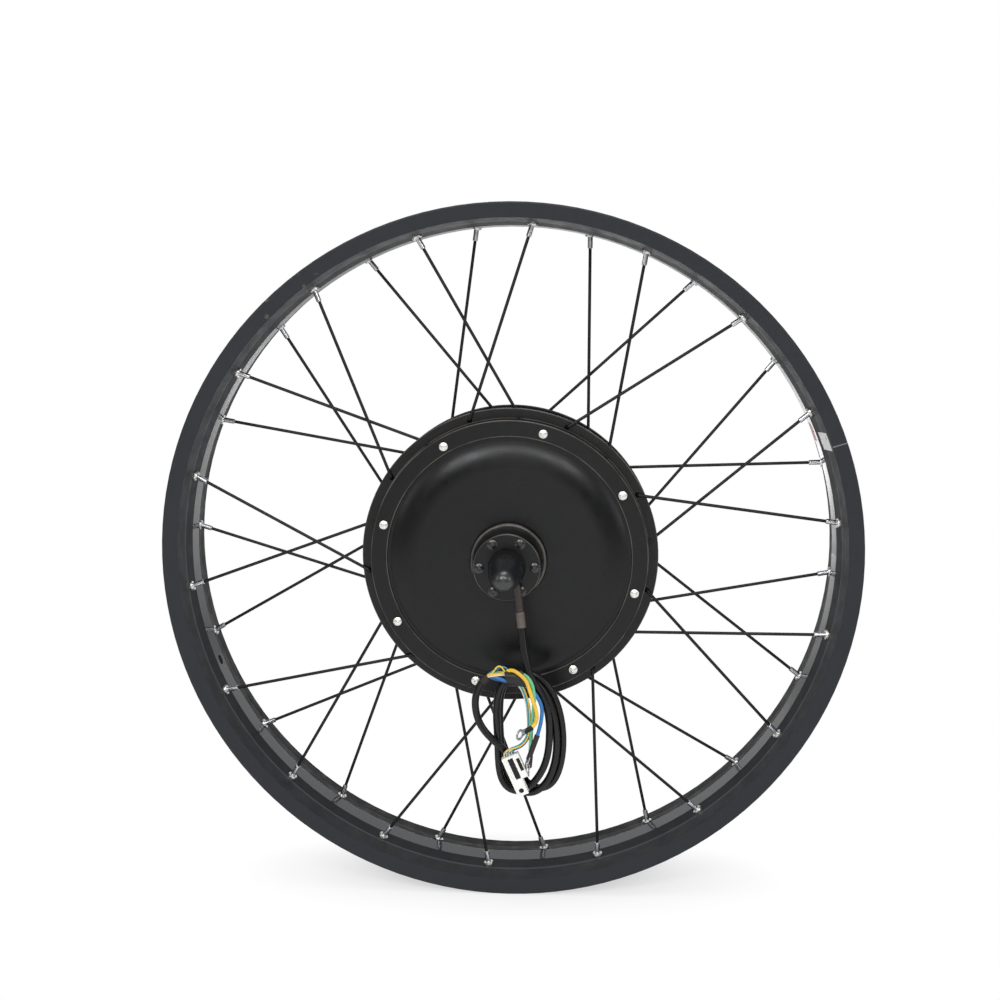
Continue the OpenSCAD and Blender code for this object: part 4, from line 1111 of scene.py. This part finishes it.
@dataclass
class SignalLeads:
    """Five thin wires of the position sensors, from the jacket's end to the signal connector.

    Attributes:
        diameter: Diameter of a wire in millimetres.
        colours: Insulation colour of each wire, as rrggbb.
        spread: Distance of each wire from the bundle's middle.
        pitch: Distance between the wires in the connector.
        plugged: How far they go into it.
        contact: Radius and height along a crimped contact.
        starts: First points of each wire, before it joins the bundle.
        bundle: Points of the bundle's middle.
    """

    diameter: float = 1.3
    colours: tuple = ("e9c24a", "2f9fb4", "d8cdb8", "7fc29a", "2c5f9e")
    spread: float = 1.15
    pitch: float = 1.9
    plugged: float = 3.0
    contact: tuple = ((0, 0), (0.75, 0), (0.9, 0.15), (0.9, 1.1), (0.75, 1.3), (0.9, 1.5),
                      (0.9, 2.4), (0.75, 2.6), (0, 2.6))
    starts: tuple = (
        [(-13.8, -91.2, -82.2), (-10.6, -92.6, -80.4), (-8.4, -93.4, -77.4), (-6.2, -93.9, -74.4),
         (-3.6, -94, -74), (-1.6, -93.8, -76.6), (0.6, -93, -79.6)],
        [(-13.8, -90.4, -81.8), (-10, -91, -79), (-5.5, -91.4, -76.6), (-2.4, -91.8, -75),
         (0.4, -92, -75.8), (2.4, -92, -78.6)],
        [(-13.8, -92, -83.4), (-10.5, -93.4, -82.2), (-6.5, -94.2, -81.4), (-2.5, -94.2, -81),
         (1, -93.4, -81.6)],
        [(-13.8, -89.6, -82.6), (-9.5, -90.4, -80.4), (-4, -90.8, -79.4), (1, -91, -80)],
        [(-13.8, -90.4, -84.2), (-9.5, -91.4, -85.2), (-4, -92, -86.4), (1, -91.8, -87)])
    bundle: tuple = (
        (5, -91.6, -84.6), (9, -91.8, -87.4), (13, -93, -91.6), (15.8, -94.8, -97.4),
        (17.8, -95, -105), (18.6, -94.2, -113), (18.8, -92.8, -120.5), (18.4, -92.2, -127.5),
        (16.6, -92.6, -133.4), (13, -93.6, -137.6), (8.8, -94.8, -139.6), (5.2, -95.4, -140.8),
        (3.2, -95.4, -142.8), (3.2, -95.4, -145.2))

    def build(self, connector: bpy.types.Object) -> None:
        """Each wire runs on a circle round the bundle's middle that turns slowly, and the circle opens
        into a row over the last quarter.

        Args:
            connector: The connector that they end in.
        """
        middle = np.array(self.bundle)
        count = len(self.colours)
        side, front = frames(middle)
        down = unit(middle[-1] - middle[-2])
        across = unit(np.cross(down, [0, 1, 0]))
        wires = []
        for k, colour in enumerate(self.colours):
            turn = 2 * np.pi * k / count + np.linspace(0, 2.2, len(middle))
            part = np.clip(np.linspace(0, 1, len(middle)) * 4 - 3, 0, 1)[:, None]
            ring = self.spread * (np.cos(turn)[:, None] * side + np.sin(turn)[:, None] * front)
            row = across * (k - (count - 1) / 2) * self.pitch
            line = middle + ring * (1 - part) + row * part
            end = line[-1] + down * self.plugged
            path = smooth_route([*self.starts[k], *line.tolist(), end.tolist()], 0.5, soften=8)
            wires.append(self.wire(k, colour, path, connector, down))
        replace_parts(wires[0], "hall_leads")

    def wire(self, k: int, colour: str, path: np.ndarray, connector: bpy.types.Object,
             down: np.ndarray) -> bpy.types.Object:
        """Args:
            k: Which wire it is.
            colour: Its insulation's colour.
            path: Its centre line, in metres.
            connector: The connector that it ends in; not used.
            down: Direction in which it enters the connector.

        Returns:
            The wire.
        """
        r = self.diameter / 2 * MM
        skin = Finish(f"signal insulation {k + 1}", colour, 0.34, mottle=0.08, mottle_size=0.004,
                      grain=0.06, lines=Lines.ROUND_UV, line_size=0.0008)
        line, radius = eased_ends(path, r, 0.0002)
        wire = add_piece(f"signal_wire_{k + 1}", tube(line, radius, 12), skin, AXLE)
        crimp = turned(self.contact, 16, path[-1] - down * 0.0046, down)
        contact = add_piece(f"signal_contact_{k + 1}", crimp, TIN, AXLE)
        return wire


@dataclass
class SignalConnector:
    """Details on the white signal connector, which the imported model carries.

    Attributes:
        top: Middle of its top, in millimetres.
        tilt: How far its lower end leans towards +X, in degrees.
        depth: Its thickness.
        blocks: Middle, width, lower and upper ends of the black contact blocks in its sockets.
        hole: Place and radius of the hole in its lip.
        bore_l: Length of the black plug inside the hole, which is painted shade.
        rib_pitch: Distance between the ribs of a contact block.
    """

    top: tuple = (3.7, -95.4, -145.8)
    tilt: float = 23.8
    depth: float = 7.0
    blocks: tuple = ((-0.6, 4.4, -19.3, -1.6), (5.1, 2.8, -14.2, -3.4))
    hole: tuple = (-2.5, -29.0, 2.0)
    bore_l: float = 6.2
    rib_pitch: float = 3.3

    def turn(self) -> np.ndarray:
        """Return the matrix from the connector's own axes to the frame's."""
        a = math.radians(self.tilt)
        return np.array([[math.cos(a), 0, -math.sin(a)], [0, 1, 0], [math.sin(a), 0, math.cos(a)]])

    def put(self, name: str, surface: Surface, finish: Finish) -> None:
        """Add a piece that is drawn in the connector's own axes."""
        add_piece(name, surface.placed(np.array(self.top) * MM, self.turn()), finish, AXLE)

    def build(self) -> None:
        """Make the contact blocks with their ribs, the key and the latch, and a black plug inside the
        hole as painted shade.
        """
        front = -self.depth / 2
        for k, (x, w, low, high) in enumerate(self.blocks):
            whole = rounded_box((w, 1.6, high - low), 0.3, at=(x, front + 0.62, (low + high) / 2))
            for z in np.arange(low + 2.2, high - 1.2, self.rib_pitch):
                rib = rounded_box((w * 0.62, 0.5, 1.5), 0.16, 3, (x, front - 0.3, z))
                whole = whole.joined(rib)
            self.put(f"contact_block_{k + 1}", whole, MOULDED_AND_SHADE)
        key = rounded_box((1.2, 0.9, 15), 0.3, at=(-4.4, front - 0.1, -11))
        latch = rounded_box((5.2, 0.8, 1.3), 0.3, at=(2.2, front - 0.05, -0.9))
        self.put("connector_keys", key.joined(latch), NYLON)
        # Painted shade: a black plug fills the hole just inside the lip's face.
        x, z, r = self.hole
        r, start = r * 0.99, np.array([x, front + 0.4, z]) * MM
        hole_shade = turned(((0, 0), (r, 0), (r, self.bore_l), (0, self.bore_l)), 32, start, (0, 1, 0))
        self.put("connector_hole_shade", hole_shade, MOULDED_AND_SHADE)


# Distance from the wheel's middle and radius of the rim's hub side, where its slope changes
RIM_HUB_SIDE = ((9.4, 269.75), (21.4, 271.95), (40.3, 273.75))


@dataclass
class RimLabel:
    """A blank label that follows the hub side of the rim.

    Attributes:
        name: Its name.
        turn_from, turn_to: Its ends round the wheel, in degrees.
        y_from, y_to: Its edges along the axle, in millimetres.
        finish: Its finish.
        lift: How far its back lies off the rim.
        thick: Its thickness.
    """

    name: str
    turn_from: float
    turn_to: float
    y_from: float
    y_to: float
    finish: Finish
    lift: float = 0.03
    thick: float = 0.12

    def build(self) -> bpy.types.Object:
        """Make a thin closed sheet: rings across it, each down its face and back along its rear."""
        y = np.linspace(self.y_from, self.y_to, 16)
        rim = np.interp(np.abs(y), *np.transpose(RIM_HUB_SIDE))
        face, rear = rim - self.lift - self.thick, rim - self.lift
        r = np.concatenate([face, rear[::-1]])[None]
        a = np.radians(np.linspace(self.turn_from, self.turn_to, 24))[:, None]
        x, z = r * np.cos(a), r * np.sin(a)
        across = np.broadcast_to(np.concatenate([y, y[::-1]]), x.shape)
        skin = shell(np.stack([x, across, z], -1) * MM, a[:, 0] * 0.27)
        return add_piece(self.name, skin, self.finish, WHEEL, smooth=60)


# ---------------------------------------------------------------- studio

@dataclass
class Studio:
    """The floor, the light and the camera, in metres.

    Attributes:
        floor_z: Height of the floor.
        floor_half: Half its width.
        camera_at: Where the camera is.
        camera_to: Direction in which it looks.
        lens: Its focal length in millimetres.
        sensor: Width of its sensor in millimetres.
        lamps: Name, place, size and power in watts of each lamp, and where it points if that isn't
            the wheel's middle.
    """

    floor_z: float = -0.286
    floor_half: float = 8.0
    camera_at: tuple = (0.0488, -1.0806, 0.1991)
    camera_to: tuple = (-0.053, 0.988, -0.142)
    lens: float = 46.82
    sensor: float = 36.0
    lamps: tuple = (
        ("front top light", (0.0, -1.8, 1.45), (1.0, 0.4), 8),
        ("upper left light", (-0.78, -1.82, 1.2), (0.5, 0.4), 11),
        ("upper right light", (0.78, -1.82, 1.2), (0.5, 0.4), 7.5),
        ("front strip light", (0.0, -2.3, 0.15), (0.35, 1.9), 3),
        ("back light", (0.0, 1.7, -0.3), (0.28, 0.45), 1.05, (0, 0, -0.05)),
        ("top light", (0.1, -0.2, 2.0), (1.4, 1.0), 15),
        ("left light", (-1.9, -0.9, 0.8), (0.8, 1.0), 4),
        ("right light", (1.9, -0.9, 0.6), (0.8, 1.0), 6))

    def camera(self) -> None:
        """Set the camera at the picture's viewing angle."""
        data = bpy.data.cameras.new("camera")
        data.lens, data.sensor_width, data.clip_start = self.lens, self.sensor, 0.01
        cam = bpy.data.objects.new("camera", data)
        cam.location = self.camera_at
        cam.rotation_euler = Vector(self.camera_to).to_track_quat("-Z", "Y").to_euler()
        bpy.context.scene.collection.objects.link(cam)
        bpy.context.scene.camera = cam

    def floor(self) -> None:
        """Make a white floor that fades into the white surroundings away from the wheel."""
        material = bpy.data.materials.new("floor white")
        n = Nodes(material)
        x, y, _ = n.split(n.place())
        fade = n.spread(n.length(x, n.times(y, 2.6)), 0.04, 0.24, 0.45, 1)
        rays = n.add("ShaderNodeLightPath")
        glow = n.add("ShaderNodeEmission", Color=(1, 1, 1, 1), Strength=1.0)
        mix = n.tree.nodes.new("ShaderNodeMixShader")
        out = next(k for k in n.tree.nodes if k.type == "OUTPUT_MATERIAL")
        n.feed(n.times(fade, rays.outputs["Is Camera Ray"]), mix.inputs[0])
        n.feed(n.shader.outputs[0], mix.inputs[1])
        n.feed(glow.outputs[0], mix.inputs[2])
        n.feed(mix.outputs[0], out.inputs["Surface"])
        n.feed((0.93, 0.93, 0.93, 1), n.shader.inputs["Base Color"])
        n.feed(0.8, n.shader.inputs["Roughness"])
        n.feed(0.1, n.shader.inputs["Specular IOR Level"])
        mesh = bpy.data.meshes.new("floor")
        s = self.floor_half
        mesh.from_pydata([(-s, -s, 0), (s, -s, 0), (s, s, 0), (-s, s, 0)], [], [(0, 1, 2, 3)])
        mesh.materials.append(material)
        floor = bpy.data.objects.new("floor", mesh)
        floor.location = (0, 0, self.floor_z)
        bpy.context.scene.collection.objects.link(floor)

    def world(self) -> None:
        """Light the scene from above and from behind, with plain white behind it."""
        world = bpy.data.worlds.new("studio")
        bpy.context.scene.world = world
        n = Nodes(world, "BACKGROUND")
        _, y, z = n.split(n.add("ShaderNodeTexCoord").outputs["Generated"])
        above, behind = n.spread(z, -0.2, 1.0, 0.14, 0.5), n.spread(y, 0.75, 0.95, 0.0, 0.62)
        mix = n.tree.nodes.new("ShaderNodeMix")
        n.feed(n.add("ShaderNodeLightPath").outputs["Is Camera Ray"], mix.inputs["Factor"])
        n.feed(n.maths("ADD", above, behind), mix.inputs["A"])
        n.feed(1.0, mix.inputs["B"])
        n.feed((1, 1, 1, 1), n.shader.inputs["Color"])
        n.feed(mix.outputs["Result"], n.shader.inputs["Strength"])

    def lamp(self, name: str, at: tuple, size: tuple, power: float, to: tuple = (0, 0, 0)) -> None:
        """Add a soft rectangular lamp.

        Args:
            name: The lamp's name.
            at: Where it is, in metres.
            size: Its width and height.
            power: Its power in watts.
            to: Where it points.
        """
        data = bpy.data.lights.new(name, "AREA")
        data.shape, data.size, data.size_y, data.energy = "RECTANGLE", size[0], size[1], power
        lamp = bpy.data.objects.new(name, data)
        lamp.location = at
        lamp.rotation_euler = (Vector(to) - Vector(at)).to_track_quat("-Z", "Y").to_euler()
        bpy.context.scene.collection.objects.link(lamp)

    def build(self) -> None:
        """Make the camera, the floor and the lights."""
        self.camera()
        self.floor()
        self.world()
        for lamp in self.lamps:
            self.lamp(*lamp)


def main() -> None:
    """Build the scene in order: camera, cords, then the rest."""
    logging.basicConfig(level=logging.INFO, format="%(message)s")
    bpy.context.scene.view_settings.view_transform = "Standard"
    Studio().build()
    MotorCable().build(CoilWrap().build())
    made = [lead.build() for lead in PHASE_LEADS]
    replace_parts(made[0][0], "phase_leads")
    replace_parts(made[0][1], "ring_terminals")
    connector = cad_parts["hall_connector"]
    SignalLeads().build(connector)
    SignalConnector().build()
    dress_nodes()
    RimLabel("rim_label", 19.3, 22.5, -36.5, -15.5, LABEL).build()
    RimLabel("rim_label_strip", 20.6, 23.9, -1.0, 38.5, LABEL_RED).build()


if __name__ == "__main__":
    main()
